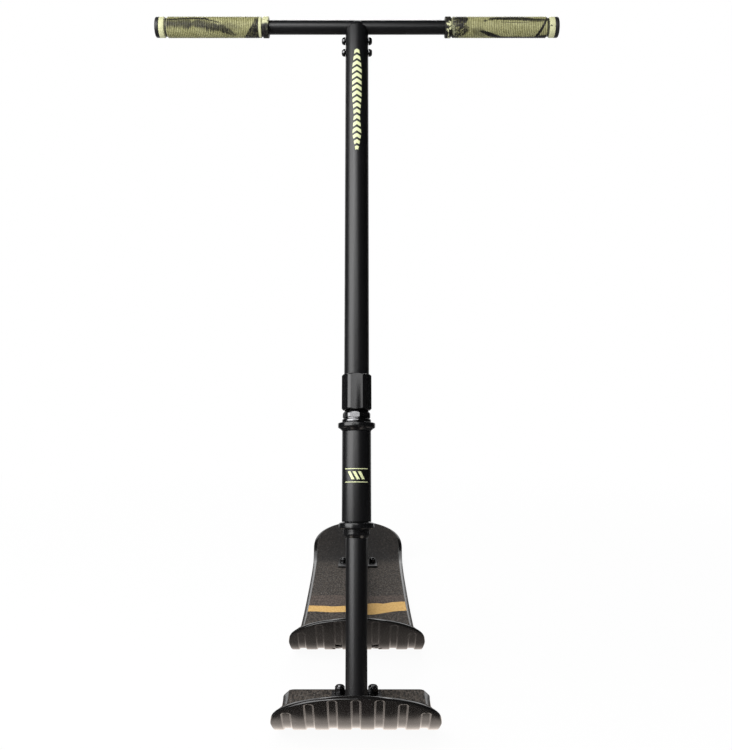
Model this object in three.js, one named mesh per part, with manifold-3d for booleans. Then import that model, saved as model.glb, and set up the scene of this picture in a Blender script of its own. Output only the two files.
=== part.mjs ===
// A snow scooter: a T handlebar on a raked column that steers a short front ski, and a long rear board
// under a bent tube frame. Millimetres, +Z up, the front faces -Y. The origin is on the ground, under
// the middle of the whole scooter. Each piece is first placed from where the steering axis meets the ground.
import * as THREE from "three";
import { mergeVertices } from "three/addons/utils/BufferGeometryUtils.js";
import Module from "manifold-3d";

const wasm = await Module();
wasm.setup();

const degree = Math.PI / 180;

// Fits
const seatGap = 0.3; // between pieces that bear on each other
const runningGap = 0.7; // between pieces that turn past each other
const boltGap = 0.5; // round a bolt in its hole
const overrun = 3; // how far a cutting shape runs past what it cuts
const mergeDistance = 0.0001; // below which two corners are one

// Facets
const tubeSides = 24;
const smallSides = 12;
const domeSteps = 4;
const edgeSteps = 3;
const cornerSteps = 4;
const arcSteps = 6;
const roundingSteps = 7;
const flatSteps = 4;

// Steering column, its places measured up the raked axis from the ground
const rake = 11.2 * degree;
const crownHeight = 221.7;
const steerer = { radius: 14.3, wall: 3, insertion: 60 };
const crown = { wall: 3.4, coneHeight: 4, bodyHeight: 8, neckHeight: 1.8 };
const cup = { skirtWall: 1.7, skirtDepth: 12, rimWall: 3, edge: 1.4 };
const headTube = { wall: 3, length: 121, chamfer: 0.75 };
const lowerCup = { lip: 3.85, floor: 2.5, shoulder: 1 };
const upperCup = { lip: 5.85, floor: 5.3, shoulder: 3.9 };
const bearing = { height: 3.4, cornerShare: 0.25 };
const raceCap = { wall: 5.6, height: 4.9, edge: 1.6 };
const lockWasher = { wall: 3.8, thickness: 1.4 };
const locknut = { wall: 3.4, cornerTrim: 1.6, topWallShare: 0.26, height: 10.7, chamferHeight: 5 };
const locknutTurn = -8 * degree;

// Handlebar
const hexSleeve = { wall: 4.4, cornerTrim: 1.2, height: 49, chamfer: 1.6 };
const setScrew = { radius: 4, socket: 4, socketShare: 0.6 };
const setScrewShares = { upper: 2 / 3, lower: 1 / 3 }; // of the sleeve's height
const downtube = { wall: 2.5, length: 540, rimDrop: 3.6, fit: 0.65 };
const crossbar = { radius: 11.1, wall: 2, width: 607.6 };
const stem = { length: 80, wall: 3.2, domeRise: 13.6 };
const stemScrew = { radius: 3, tipShare: 0.33, headLip: 3, headHeight: 5, socket: 4, socketDepth: 2.2 };
const stemScrewDrops = { upper: 23.7, lower: 43.2 }; // below the middle of the crossbar
const headLipAngle = 15 * degree; // where a screw head's dome starts over its edge
const grip = { length: 168.3, wall: 5.1, collarLength: 9, collarWall: 5.4, innerGrooveLength: 2.4 };
const gripRings = { innerLength: 4.5, outerLength: 7.9, wall: 4.8, outerGrooveLength: 4.5, grooveWall: 3.1 };
const endPlug = { thickness: 6.1, edge: 2, stemLength: 20 };

// Boards: the underside's centre line is a flat, an arc and a straight at each upturned end
const boardThickness = 11;
const tipThickness = 4;
const boardEdge = { bevelWidth: 6.5, mostBevelShare: 0.5, sideHeightShare: 0.45 };
const nose = {
  radius: 106.5,
  angle: 43.3 * degree,
  straight: 70,
  width: 204,
  rounding: 72,
  roundingPower: 2.2,
  tipShare: 0.03,
};
const boardTail = {
  radius: 118,
  angle: 45 * degree,
  straight: 47,
  width: 192,
  rounding: 67,
  roundingPower: 2.5,
  tipShare: 0.03,
};
const squareTail = {
  radius: 0,
  angle: 0,
  straight: 0,
  width: 197,
  rounding: 8,
  roundingPower: 2.2,
  tipShare: 0.95,
};
const frontSki = { nose, tail: squareTail, flat: 81, waist: 195.5 };
const rearBoard = { nose, tail: boardTail, flat: 497, waist: 185.5 };
const skiFlatAhead = 19; // from the steering axis on the ground forward to the nose's start
const boardSetback = 270.2; // from the steering axis on the ground back to the rear board's flat
const sidecutPower = 3;
const ringSpacing = 1; // the least distance between the rings of a board's skin
const grooves = { pitch: 27.5, width: 12.7, floorWidth: 8, depth: 2, margin: 4, runout: 5 };
const groovesEachSide = 3;
const tape = { thickness: 0.8, inset: 1, tipMargin: 14, tailMargin: 5 };

// Fastenings of the boards
const plateThickness = 3.5;
const plateCorner = 8;
const bolt = { radius: 4, headLip: 4, headHeight: 4, headInset: 0.8, socket: 5, socketDepth: 2.5 };
const boltTip = { height: 0.8, chamferShare: 0.2 };
const washer = { rim: 3.3, thickness: 1.4 };
const nut = { wall: 2.2, hexHeight: 6.4, collarHeight: 1.6, collarWall: 1.1 };
const basePlate = { boltClear: 7.7, sideMargin: 11, tailMargin: 16, boltInset: 10, weld: 3 };
const saddlePlate = { boltClear: 14.1, sideMargin: 10, length: 40, run: 54 };
const footPlate = { boltClear: 14.1, sideMargin: 10, length: 56, setback: 32 };

// Frame
const mainTube = { radius: 15.9, wall: 2.2, neckRise: 52, bendSteps: 9 };
const tubePlug = { thickness: 5, edge: 1.5, stemLength: 14 };

// Finishes
const blackPaint = { color: 0x17171a, roughness: 0.45, metalness: 0.3 };
const blackSteel = { color: 0x1c1c1f, roughness: 0.3, metalness: 0.7 };
const bearingSteel = { color: 0xa9abad, roughness: 0.3, metalness: 0.9 };
const boardPlastic = { color: 0x232325, roughness: 0.35, metalness: 0 };
const gritTape = { color: 0x45413f, roughness: 0.95, metalness: 0 };
const gripRubber = { color: 0xb3b07c, roughness: 0.75, metalness: 0 };
const plugPlastic = { color: 0x141416, roughness: 0.5, metalness: 0 };

// Geometry: each helper gives a closed BufferGeometry, and join, cut and common combine them

function solidOf(geometry) {
  const bare = new THREE.BufferGeometry();
  bare.setAttribute("position", geometry.getAttribute("position"));
  if (geometry.index) bare.setIndex(geometry.index);
  const merged = mergeVertices(bare, mergeDistance);
  const corners = [...merged.index.array];
  const whole = [];
  for (let i = 0; i < corners.length; i += 3) {
    const [a, b, c] = corners.slice(i, i + 3);
    if (a !== b && b !== c && c !== a) whole.push([a, b, c]);
  }
  const vertProperties = merged.getAttribute("position").array;
  const make = (faces) => {
    const triVerts = new Uint32Array(faces.flat());
    return new wasm.Manifold(new wasm.Mesh({ numProp: 3, vertProperties, triVerts }));
  };
  const solid = make(whole);
  return solid.volume() < 0 ? make(whole.map(([a, b, c]) => [a, c, b])) : solid;
}

function geometryOf(solid) {
  const mesh = solid.getMesh();
  const points = new Float32Array(mesh.numVert * 3);
  for (let i = 0; i < mesh.numVert; i++) {
    points.set(mesh.vertProperties.subarray(i * mesh.numProp, i * mesh.numProp + 3), i * 3);
  }
  const geometry = new THREE.BufferGeometry();
  geometry.setAttribute("position", new THREE.BufferAttribute(points, 3));
  geometry.setIndex(new THREE.BufferAttribute(mesh.triVerts, 1));
  return geometry;
}

function combine(way, first, others) {
  return geometryOf(others.reduce((body, other) => body[way](solidOf(other)), solidOf(first)));
}

const join = (first, ...others) => combine("add", first, others);
const cut = (first, ...tools) => combine("subtract", first, tools);
const common = (first, other) => combine("intersect", first, [other]);

// A round bar along Z.
function rod(radius, from, to, sides = tubeSides) {
  const height = to - from;
  return new THREE.CylinderGeometry(radius, radius, height, sides)
    .rotateX(Math.PI / 2)
    .translate(0, 0, from + height / 2);
}

// A hexagonal bar along Z, with a flat facing the front. Its side is the distance from the axis to a flat.
const hexSides = 6;
const hexHalfAngle = Math.PI / hexSides;

function hexRod(side, from, to, turn = 0) {
  return rod(side / Math.cos(hexHalfAngle), from, to, hexSides).rotateZ(hexHalfAngle + turn);
}

// A solid of revolution about Z from an outline of [radius, height] points, on the axis or closed on itself.
function turned(outline, sides = tubeSides) {
  const points = outline.map(([radius, height]) => new THREE.Vector2(radius, height));
  if (outline[0][0] > 0) points.push(points[0].clone());
  return new THREE.LatheGeometry(points, sides).rotateX(Math.PI / 2);
}

// A tube along Z.
function pipe(outer, inner, from, to, sides = tubeSides) {
  return turned([[inner, from], [outer, from], [outer, to], [inner, to]], sides);
}

// A closed skin over a row of rings, each a list of as many points, with both ends filled.
function skin(rings) {
  const size = rings[0].length;
  const sumOf = (ring) => ring.reduce((sum, point) => sum.add(point), new THREE.Vector3());
  const middleOf = (ring) => sumOf(ring).divideScalar(size);
  const points = [...rings.flat(), middleOf(rings[0]), middleOf(rings.at(-1))];
  const startMiddle = points.length - 2;
  const endMiddle = points.length - 1;
  const lastRing = (rings.length - 1) * size;
  const faces = [];
  for (let i = 0; i < size; i++) {
    const next = (i + 1) % size;
    faces.push(startMiddle, next, i);
    faces.push(endMiddle, lastRing + i, lastRing + next);
    for (let row = 0; row < lastRing; row += size) {
      faces.push(row + i, row + next, row + size + next);
      faces.push(row + i, row + size + next, row + size + i);
    }
  }
  return new THREE.BufferGeometry().setFromPoints(points).setIndex(faces);
}

function roundedPlate(side, front, back, corner, from, to) {
  const shape = new THREE.Shape();
  shape.absarc(side - corner, back - corner, corner, 0, Math.PI / 2);
  shape.absarc(-side + corner, back - corner, corner, Math.PI / 2, Math.PI);
  shape.absarc(-side + corner, front + corner, corner, Math.PI, Math.PI * 1.5);
  shape.absarc(side - corner, front + corner, corner, Math.PI * 1.5, Math.PI * 2);
  const options = { depth: to - from, bevelEnabled: false, curveSegments: cornerSteps };
  return new THREE.ExtrudeGeometry(shape, options).translate(0, 0, from);
}

// Points of a rounded edge for an outline, an arc of a circle or an ellipse about a middle.
function arcPoints(radius, height, across, up, start, end, steps) {
  return Array.from({ length: steps + 1 }, (_, i) => {
    const angle = start + ((end - start) * i) / steps;
    return [radius + across * Math.cos(angle), height + up * Math.sin(angle)];
  });
}

// The scene graph: everything hangs in one group that is shifted so that the origin is under the middle

const scooter = new THREE.Group();
const onGround = new THREE.Group();
const column = new THREE.Group();
column.rotation.x = -rake;
scooter.add(onGround);
onGround.add(column);

function piece(name, geometry, finish, group) {
  const shown = geometryOf(solidOf(geometry)).toNonIndexed();
  shown.computeVertexNormals();
  const mesh = new THREE.Mesh(shown, new THREE.MeshStandardMaterial({ ...finish, flatShading: true }));
  mesh.name = name;
  group.add(mesh);
  return mesh;
}

// Places up the column
const cavityDepth = crown.neckHeight + seatGap + bearing.height + seatGap;
const lowerCupBase = crownHeight + crown.coneHeight + crown.bodyHeight + seatGap;
const headTubeBase = lowerCupBase + cavityDepth + lowerCup.floor + seatGap;
const headTubeTop = headTubeBase + headTube.length;
const upperCupTop = headTubeTop + seatGap + upperCup.floor + cavityDepth;
const raceCapBase = upperCupTop + seatGap;
const lockWasherBase = raceCapBase + raceCap.height + seatGap;
const locknutBase = lockWasherBase + lockWasher.thickness + seatGap;
const sleeveBase = locknutBase + locknut.height + seatGap;
const downtubeBase = sleeveBase + hexSleeve.height + seatGap;
const steererTop = downtubeBase + steerer.insertion;
const crossbarHeight = downtubeBase + downtube.length;

// Radii that follow their neighbours, out from the steerer
const threadBore = steerer.radius + seatGap;
const cupBore = steerer.radius + runningGap;
const skirtRadius = cupBore + cup.skirtWall;
const headTubeBore = skirtRadius + seatGap;
const headTubeRadius = headTubeBore + headTube.wall;
const lowerCupRadius = headTubeRadius + lowerCup.lip;
const upperCupRadius = headTubeRadius + upperCup.lip;
const lowerCavity = lowerCupRadius - cup.rimWall;
const upperCavity = upperCupRadius - cup.rimWall;
const crownRadius = threadBore + crown.wall;
const raceCapRadius = threadBore + raceCap.wall;
const sleeveSide = threadBore + hexSleeve.wall;
const downtubeBore = steerer.radius + downtube.fit;
const downtubeRadius = downtubeBore + downtube.wall;
const stemRadius = downtubeBore - seatGap;

// Radii that follow the boards' bolts
const boltBore = bolt.radius + seatGap;
const boltHeadRadius = bolt.radius + bolt.headLip;
const washerRadius = boltBore + washer.rim;
const nutSide = boltBore + nut.wall;
const nutCollarRadius = boltBore + nut.collarWall;

// The underside's centre line

function kickLength(end) {
  return end.radius * end.angle + end.straight;
}

// Where a kick has got to, some way from its start.
function kickPoint(end, run) {
  const arc = Math.min(run, end.radius * end.angle);
  const slope = arc / end.radius;
  const rest = run - arc;
  return {
    along: end.radius * Math.sin(slope) + rest * Math.cos(slope),
    up: end.radius * (1 - Math.cos(slope)) + rest * Math.sin(slope),
    slope,
  };
}

// A point of the centre line by its run, which is zero where the flat starts behind the nose.
function spine(board, run) {
  if (run < 0) {
    const kick = kickPoint(board.nose, -run);
    return { y: -kick.along, z: kick.up, slope: -kick.slope };
  }
  if (run > board.flat) {
    const kick = kickPoint(board.tail, run - board.flat);
    return { y: board.flat + kick.along, z: kick.up, slope: kick.slope };
  }
  return { y: run, z: 0, slope: 0 };
}

function halfWidth(board, run) {
  const waistAt = board.flat / 2;
  const end = run < waistAt ? board.nose : board.tail;
  const out = Math.abs(run - waistAt);
  const reach = waistAt + kickLength(end) - end.rounding;
  const flare = Math.min(out / reach, 1) ** sidecutPower;
  const side = (board.waist + (end.width - board.waist) * flare) / 2;
  const tip = (end.width * end.tipShare) / 2;
  const past = THREE.MathUtils.clamp((out - reach) / end.rounding, 0, 1);
  return tip + (side - tip) * Math.sqrt(1 - past ** end.roundingPower);
}

function thicknessAt(board, run) {
  const end = run < 0 ? board.nose : board.tail;
  const past = (run < 0 ? -run : run - board.flat) - end.radius * end.angle;
  if (past <= 0) return boardThickness;
  return boardThickness - ((boardThickness - tipThickness) * past) / end.straight;
}

function grooveDepth(board, run, x) {
  const sideRoom = halfWidth(board, run) - Math.abs(x) - grooves.width / 2;
  const noseRoom = kickLength(board.nose) + run;
  const tailRoom = board.flat + kickLength(board.tail) - run;
  const room = Math.min(sideRoom, noseRoom, tailRoom) - grooves.margin;
  return grooves.depth * THREE.MathUtils.clamp(room / grooves.runout, 0, 1);
}

// The runs at which a board's skin has a ring.
function stations(board) {
  const runs = [];
  const ends = [
    [-1, 0, board.nose],
    [1, board.flat, board.tail],
  ];
  for (const [way, start, end] of ends) {
    for (let i = 0; i <= arcSteps; i++) {
      runs.push(start + (way * end.radius * end.angle * i) / arcSteps);
    }
    for (let i = 0; i <= roundingSteps; i++) {
      const left = 1 - Math.sin(((i / roundingSteps) * Math.PI) / 2);
      runs.push(start + way * (kickLength(end) - end.rounding * left));
    }
  }
  for (let i = 1; i < flatSteps; i++) runs.push((board.flat * i) / flatSteps);
  runs.sort((a, b) => a - b);
  const kept = [runs[0]];
  for (const run of runs) {
    if (run - kept.at(-1) > ringSpacing) kept.push(run);
  }
  kept[kept.length - 1] = runs.at(-1);
  return kept;
}

function onBoard(board, run, x, height) {
  const { y, z, slope } = spine(board, run);
  return new THREE.Vector3(x, y - height * Math.sin(slope), z + height * Math.cos(slope));
}

function boardRing(board, run) {
  const half = halfWidth(board, run);
  const thickness = thicknessAt(board, run);
  const inner = half - Math.min(boardEdge.bevelWidth, half * boardEdge.mostBevelShare);
  const within = (x) => THREE.MathUtils.clamp(x, -inner, inner);
  const outline = [[-half, 0]];
  for (let i = -groovesEachSide; i <= groovesEachSide; i++) {
    const x = i * grooves.pitch;
    const depth = grooveDepth(board, run, x);
    outline.push([within(x - grooves.width / 2), 0], [within(x - grooves.floorWidth / 2), depth]);
    outline.push([within(x + grooves.floorWidth / 2), depth], [within(x + grooves.width / 2), 0]);
  }
  outline.push([half, 0], [half, thickness * boardEdge.sideHeightShare], [inner, thickness]);
  outline.push([-inner, thickness], [-half, thickness * boardEdge.sideHeightShare]);
  return outline.map(([x, height]) => onBoard(board, run, x, height));
}

function boardBlank(board) {
  return skin(stations(board).map((run) => boardRing(board, run)));
}

// Grip tape lies on the board's top, inside its bevelled edges.
function tapeSheet(board, tailMargin) {
  const start = tape.tipMargin - kickLength(board.nose);
  const end = board.flat + kickLength(board.tail) - tailMargin;
  const between = stations(board).filter((run) => run > start + ringSpacing && run < end - ringSpacing);
  const rings = [start, ...between, end].map((run) => {
    const half = halfWidth(board, run) - boardEdge.bevelWidth - tape.inset;
    const under = thicknessAt(board, run) + seatGap;
    const over = under + tape.thickness;
    const corners = [[-half, under], [half, under], [half, over], [-half, over]];
    return corners.map(([x, height]) => onBoard(board, run, x, height));
  });
  return skin(rings);
}

// Moves a geometry from a board's bolt axis to its place: Z along the board's normal.
function atBolt(geometry, board, x, run) {
  const { y, z, slope } = spine(board, run);
  return geometry.rotateX(slope).translate(x, y, z);
}

// Heights over the underside at a fastening
const plateBase = boardThickness + seatGap + tape.thickness + seatGap;
const plateTop = plateBase + plateThickness;
const washerBase = plateTop + seatGap;
const nutBase = washerBase + washer.thickness + seatGap;
const nutTop = nutBase + nut.hexHeight + nut.collarHeight;

// The hole is countersunk from below, and faced flat for the washer above.
function boltHole() {
  const shank = bolt.radius + boltGap;
  const head = boltHeadRadius + boltGap;
  const face = washerRadius + boltGap;
  const coneTop = bolt.headInset + bolt.headHeight + boltGap;
  const top = nutTop + overrun;
  const outline = [[0, -overrun], [head, -overrun], [head, bolt.headInset], [shank, coneTop]];
  outline.push([shank, plateTop], [face, plateTop], [face, top], [0, top]);
  return turned(outline, smallSides);
}

function boltBody() {
  const { radius, headHeight, headInset, socket, socketDepth } = bolt;
  const top = nutTop + boltTip.height;
  const chamfer = radius * boltTip.chamferShare;
  const outline = [[0, headInset], [boltHeadRadius, headInset], [radius, headInset + headHeight]];
  outline.push([radius, top - chamfer], [radius - chamfer, top], [0, top]);
  return cut(turned(outline, smallSides), hexRod(socket / 2, headInset - overrun, headInset + socketDepth));
}

function washerBody() {
  return pipe(washerRadius, boltBore, washerBase, washerBase + washer.thickness, smallSides);
}

function nutBody() {
  const corner = nutSide / Math.cos(hexHalfAngle);
  const hexTop = nutBase + nut.hexHeight;
  const outline = [[0, nutBase], [corner, nutBase], [corner, hexTop - (corner - nutSide)], [nutSide, hexTop]];
  outline.push([nutCollarRadius, hexTop], [nutCollarRadius, nutTop], [0, nutTop]);
  const bore = rod(boltBore, nutBase - overrun, nutTop + overrun, smallSides);
  const hex = hexRod(nutSide, nutBase, nutTop, hexHalfAngle);
  return cut(common(hex, turned(outline, smallSides)), bore);
}

// The bolts through a board: a name, a place across and a run for each
function boltPlaces(prefix, side, run) {
  return [
    { name: `${prefix}_left`, x: -side, run },
    { name: `${prefix}_right`, x: side, run },
  ];
}

const skiBoltSide = steerer.radius + basePlate.boltClear;
const basePlateEnd = frontSki.flat - basePlate.tailMargin;
const skiBolts = [
  ...boltPlaces("front", skiBoltSide, basePlate.boltInset),
  ...boltPlaces("rear", skiBoltSide, basePlateEnd - basePlate.boltInset),
];
const saddleBoltSide = mainTube.radius + saddlePlate.boltClear;
const footBoltSide = mainTube.radius + footPlate.boltClear;
const footRun = rearBoard.flat - footPlate.setback;
const saddleBolts = boltPlaces("front", saddleBoltSide, -saddlePlate.run);
const footBolts = boltPlaces("rear", footBoltSide, footRun);
const frameBolts = [...saddleBolts, ...footBolts];

function drilled(geometry, board, places) {
  return cut(geometry, ...places.map(({ x, run }) => atBolt(boltHole(), board, x, run)));
}

function addFasteners(prefix, board, places, group) {
  for (const { name, x, run } of places) {
    piece(`${prefix}_bolt_${name}`, atBolt(boltBody(), board, x, run), blackSteel, group);
    piece(`${prefix}_washer_${name}`, atBolt(washerBody(), board, x, run), blackSteel, group);
    piece(`${prefix}_nut_${name}`, atBolt(nutBody(), board, x, run), blackSteel, group);
  }
}

// Front ski, placed by a group whose origin is where its flat starts

const skiGroup = new THREE.Group();
skiGroup.position.y = -skiFlatAhead;
onGround.add(skiGroup);
piece("front_ski", drilled(boardBlank(frontSki), frontSki, skiBolts), boardPlastic, skiGroup);
const skiTape = tapeSheet(frontSki, tape.tailMargin);
piece("front_ski_grip_tape", drilled(skiTape, frontSki, skiBolts), gritTape, skiGroup);
addFasteners("ski", frontSki, skiBolts, skiGroup);

// Rear board

const boardGroup = new THREE.Group();
boardGroup.position.y = boardSetback;
onGround.add(boardGroup);
piece("rear_board", drilled(boardBlank(rearBoard), rearBoard, frameBolts), boardPlastic, boardGroup);
const boardTape = tapeSheet(rearBoard, tape.tailMargin);
piece("rear_board_grip_tape", drilled(boardTape, rearBoard, frameBolts), gritTape, boardGroup);
addFasteners("frame", rearBoard, frameBolts, boardGroup);

// Fork: the raked steerer tube, welded to a level base plate and closed by it

function raked(geometry) {
  return geometry.rotateX(-rake);
}

// The weld's size, kept clear of the nearest washers.
function weldSize() {
  const boltAhead = skiFlatAhead - basePlate.boltInset + plateTop * Math.tan(rake);
  const room = Math.hypot(skiBoltSide, boltAhead) - washerRadius - steerer.radius - seatGap;
  return Math.min(basePlate.weld, room);
}

function footWeld() {
  const weld = weldSize();
  const ring = (grow, up) =>
    Array.from({ length: tubeSides }, (_, i) => {
      const angle = (2 * Math.PI * i) / tubeSides;
      const radius = steerer.radius + grow;
      const y = (radius * Math.sin(angle)) / Math.cos(rake) + up * Math.tan(rake);
      return new THREE.Vector3(radius * Math.cos(angle), y, up);
    });
  const middle = plateTop - plateThickness / 2;
  return skin([ring(weld, middle), ring(weld, plateTop), ring(0, plateTop + weld)]);
}

function forkBody() {
  const side = skiBoltSide + basePlate.sideMargin;
  const back = basePlateEnd - skiFlatAhead;
  const plate = roundedPlate(side, -skiFlatAhead, back, plateCorner, plateBase, plateTop);
  const room = steererTop;
  const plateMiddle = plateBase + plateThickness / 2;
  const floor = new THREE.BoxGeometry(room, room, room).translate(0, 0, plateMiddle - room / 2);
  const tube = cut(raked(rod(steerer.radius, 0, steererTop)), floor);
  const boreStart = (plateTop + steerer.radius * Math.sin(rake)) / Math.cos(rake);
  const bore = raked(rod(steerer.radius - steerer.wall, boreStart, steererTop + overrun));
  const holes = skiBolts.map(({ x, run }) => boltHole().translate(x, run - skiFlatAhead, 0));
  return cut(join(plate, tube, footWeld()), bore, ...holes);
}

piece("fork", forkBody(), blackPaint, onGround);

// Headset: races on the steerer, cups in the head tube, and a ring of balls between them at each end

const conePoints = [
  [threadBore, crownHeight],
  [crownRadius, crownHeight + crown.coneHeight],
  [crownRadius, lowerCupBase - seatGap],
  [lowerCavity - runningGap, lowerCupBase - seatGap],
  [lowerCavity - runningGap, lowerCupBase + crown.neckHeight],
  [threadBore, lowerCupBase + crown.neckHeight],
];
piece("crown_race", turned(conePoints), blackSteel, column);

function cupOutline(mouth, seat, radius, cavity, shoulder) {
  // The cup opens at its mouth and bears on the head tube at its seat, whichever way up it is.
  const way = Math.sign(seat - mouth);
  const floor = mouth + way * cavityDepth;
  const skirtEnd = seat + way * cup.skirtDepth;
  return [
    [cavity, mouth],
    [radius - cup.edge, mouth],
    [radius, mouth + way * cup.edge],
    [radius, seat - way * (shoulder + cup.edge)],
    [radius - cup.edge, seat - way * shoulder],
    [headTubeRadius, seat],
    [skirtRadius, seat],
    [skirtRadius, skirtEnd],
    [cupBore, skirtEnd],
    [cupBore, floor],
    [cavity, floor],
  ];
}

const lowerSeat = headTubeBase - seatGap;
const upperSeat = headTubeTop + seatGap;
const lowerOutline = cupOutline(lowerCupBase, lowerSeat, lowerCupRadius, lowerCavity, lowerCup.shoulder);
piece("lower_cup", turned(lowerOutline), blackSteel, column);
const upperOutline = cupOutline(upperCupTop, upperSeat, upperCupRadius, upperCavity, upperCup.shoulder);
piece("upper_cup", turned(upperOutline), blackSteel, column);

function bearingRing(floor, way, cavity) {
  const outer = cavity - seatGap;
  const inner = cupBore;
  const near = floor - way * seatGap;
  const far = near - way * bearing.height;
  const corner = bearing.height * bearing.cornerShare;
  const outline = [[inner + corner, near], [outer - corner, near], [outer, near - way * corner]];
  outline.push([outer, far + way * corner], [outer - corner, far], [inner + corner, far]);
  outline.push([inner, far + way * corner], [inner, near - way * corner]);
  return turned(outline);
}

piece("lower_bearing", bearingRing(lowerCupBase + cavityDepth, 1, lowerCavity), bearingSteel, column);
piece("upper_bearing", bearingRing(upperCupTop - cavityDepth, -1, upperCavity), bearingSteel, column);

const headTubeOutline = [
  [headTubeBore, headTubeBase],
  [headTubeRadius - headTube.chamfer, headTubeBase],
  [headTubeRadius, headTubeBase + headTube.chamfer],
  [headTubeRadius, headTubeTop - headTube.chamfer],
  [headTubeRadius - headTube.chamfer, headTubeTop],
  [headTubeBore, headTubeTop],
];
piece("head_tube", turned(headTubeOutline), blackPaint, column);

const upperRaceFoot = upperCupTop - crown.neckHeight;
const upperRaceOutline = [
  [threadBore, upperRaceFoot],
  [upperCavity - runningGap, upperRaceFoot],
  [upperCavity - runningGap, upperCupTop - seatGap],
  [raceCapRadius - raceCap.edge, raceCapBase],
  [raceCapRadius, raceCapBase + raceCap.edge],
  [raceCapRadius, raceCapBase + raceCap.height - raceCap.edge],
  [raceCapRadius - raceCap.edge, raceCapBase + raceCap.height],
  [threadBore, raceCapBase + raceCap.height],
];
piece("upper_race", turned(upperRaceOutline), blackSteel, column);
const lockWasherRadius = threadBore + lockWasher.wall;
const lockWasherTop = lockWasherBase + lockWasher.thickness;
piece("lock_washer", pipe(lockWasherRadius, threadBore, lockWasherBase, lockWasherTop), blackSteel, column);

function locknutBody() {
  const { wall, cornerTrim, topWallShare, height, chamferHeight } = locknut;
  const side = threadBore + wall;
  const corner = side / Math.cos(hexHalfAngle) - cornerTrim;
  const top = locknutBase + height;
  const outline = [[0, locknutBase], [corner, locknutBase], [corner, top - chamferHeight]];
  outline.push([threadBore + wall * topWallShare, top], [0, top]);
  const hex = common(hexRod(side, locknutBase, top, locknutTurn), turned(outline));
  return cut(hex, rod(threadBore, locknutBase - overrun, top + overrun));
}

piece("headset_locknut", locknutBody(), blackSteel, column);

// Hexagonal sleeve at the handlebar's foot, pinched on the steerer by two set screws from behind

// Moves a geometry whose Z runs outwards to the sleeve's back, some share of the way up.
function behindSleeve(geometry, share) {
  return geometry.rotateX(-Math.PI / 2).translate(0, 0, sleeveBase + hexSleeve.height * share);
}

function sleeveBody() {
  const { cornerTrim, height, chamfer } = hexSleeve;
  const radius = sleeveSide / Math.cos(hexHalfAngle) - cornerTrim;
  const top = sleeveBase + height;
  const outline = [[0, sleeveBase], [radius - chamfer, sleeveBase], [radius, sleeveBase + chamfer]];
  outline.push([radius, top - chamfer], [radius - chamfer, top], [0, top]);
  const body = common(hexRod(sleeveSide, sleeveBase, top), turned(outline));
  const holes = Object.values(setScrewShares).map((share) =>
    behindSleeve(rod(setScrew.radius + seatGap, 0, sleeveSide + overrun, smallSides), share),
  );
  return cut(body, rod(threadBore, sleeveBase - overrun, top + overrun), ...holes);
}

function setScrewBody() {
  const outer = sleeveSide - seatGap;
  const socketDepth = (outer - threadBore) * setScrew.socketShare;
  const socket = hexRod(setScrew.socket / 2, outer - socketDepth, outer + overrun);
  return cut(rod(setScrew.radius, threadBore, outer, smallSides), socket);
}

piece("hex_sleeve", sleeveBody(), blackPaint, column);
for (const [name, share] of Object.entries(setScrewShares)) {
  piece(`set_screw_${name}`, behindSleeve(setScrewBody(), share), blackSteel, column);
}

// Handlebar: the crossbar's stem drops into the downtube, whose rim is notched for the crossbar

function alongX(geometry) {
  return geometry.rotateY(Math.PI / 2);
}

const screwSides = { left: -1, right: 1 };
const screwHeights = {
  upper: crossbarHeight - stemScrewDrops.upper,
  lower: crossbarHeight - stemScrewDrops.lower,
};

function screwHoles(radius) {
  const reach = downtubeRadius + overrun;
  return Object.values(screwHeights).map((height) =>
    alongX(rod(radius, -reach, reach, smallSides)).translate(0, 0, height),
  );
}

function downtubeBody() {
  const rim = crossbarHeight - downtube.rimDrop;
  const tube = pipe(downtubeRadius, downtubeBore, downtubeBase, rim);
  const reach = downtubeRadius + overrun;
  const notch = alongX(rod(crossbar.radius + seatGap, -reach, reach)).translate(0, 0, crossbarHeight);
  return cut(tube, notch, ...screwHoles(stemScrew.radius + boltGap));
}

function crossbarBody() {
  const half = crossbar.width / 2;
  const bar = alongX(rod(crossbar.radius, -half, half)).translate(0, 0, crossbarHeight);
  const foot = crossbarHeight - stem.length;
  const shoulder = crossbarHeight - downtube.rimDrop;
  const dome = arcPoints(0, shoulder, stemRadius, stem.domeRise, 0, Math.PI / 2, domeSteps);
  const post = turned([[0, foot], [stemRadius, foot], ...dome.slice(0, -1), [0, shoulder + stem.domeRise]]);
  const barBore = crossbar.radius - crossbar.wall;
  const tunnel = alongX(rod(barBore, -half - overrun, half + overrun)).translate(0, 0, crossbarHeight);
  const stemBore = rod(stemRadius - stem.wall, foot - overrun, crossbarHeight - crossbar.radius - overrun);
  return cut(join(bar, post), tunnel, stemBore, ...screwHoles(stemScrew.radius + seatGap));
}

function stemScrewBody() {
  const { radius, tipShare, headLip, headHeight, socket, socketDepth } = stemScrew;
  const seat = downtubeRadius + seatGap;
  const tip = (stemRadius - stem.wall) * tipShare;
  const top = seat + headHeight;
  const dome = arcPoints(0, seat, radius + headLip, headHeight, headLipAngle, Math.PI / 2, domeSteps);
  const outline = [[0, tip], [radius, tip], [radius, seat], [radius + headLip, seat]];
  outline.push(...dome.slice(0, -1), [0, top]);
  return cut(turned(outline, smallSides), hexRod(socket / 2, top - socketDepth, top + overrun));
}

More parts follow.
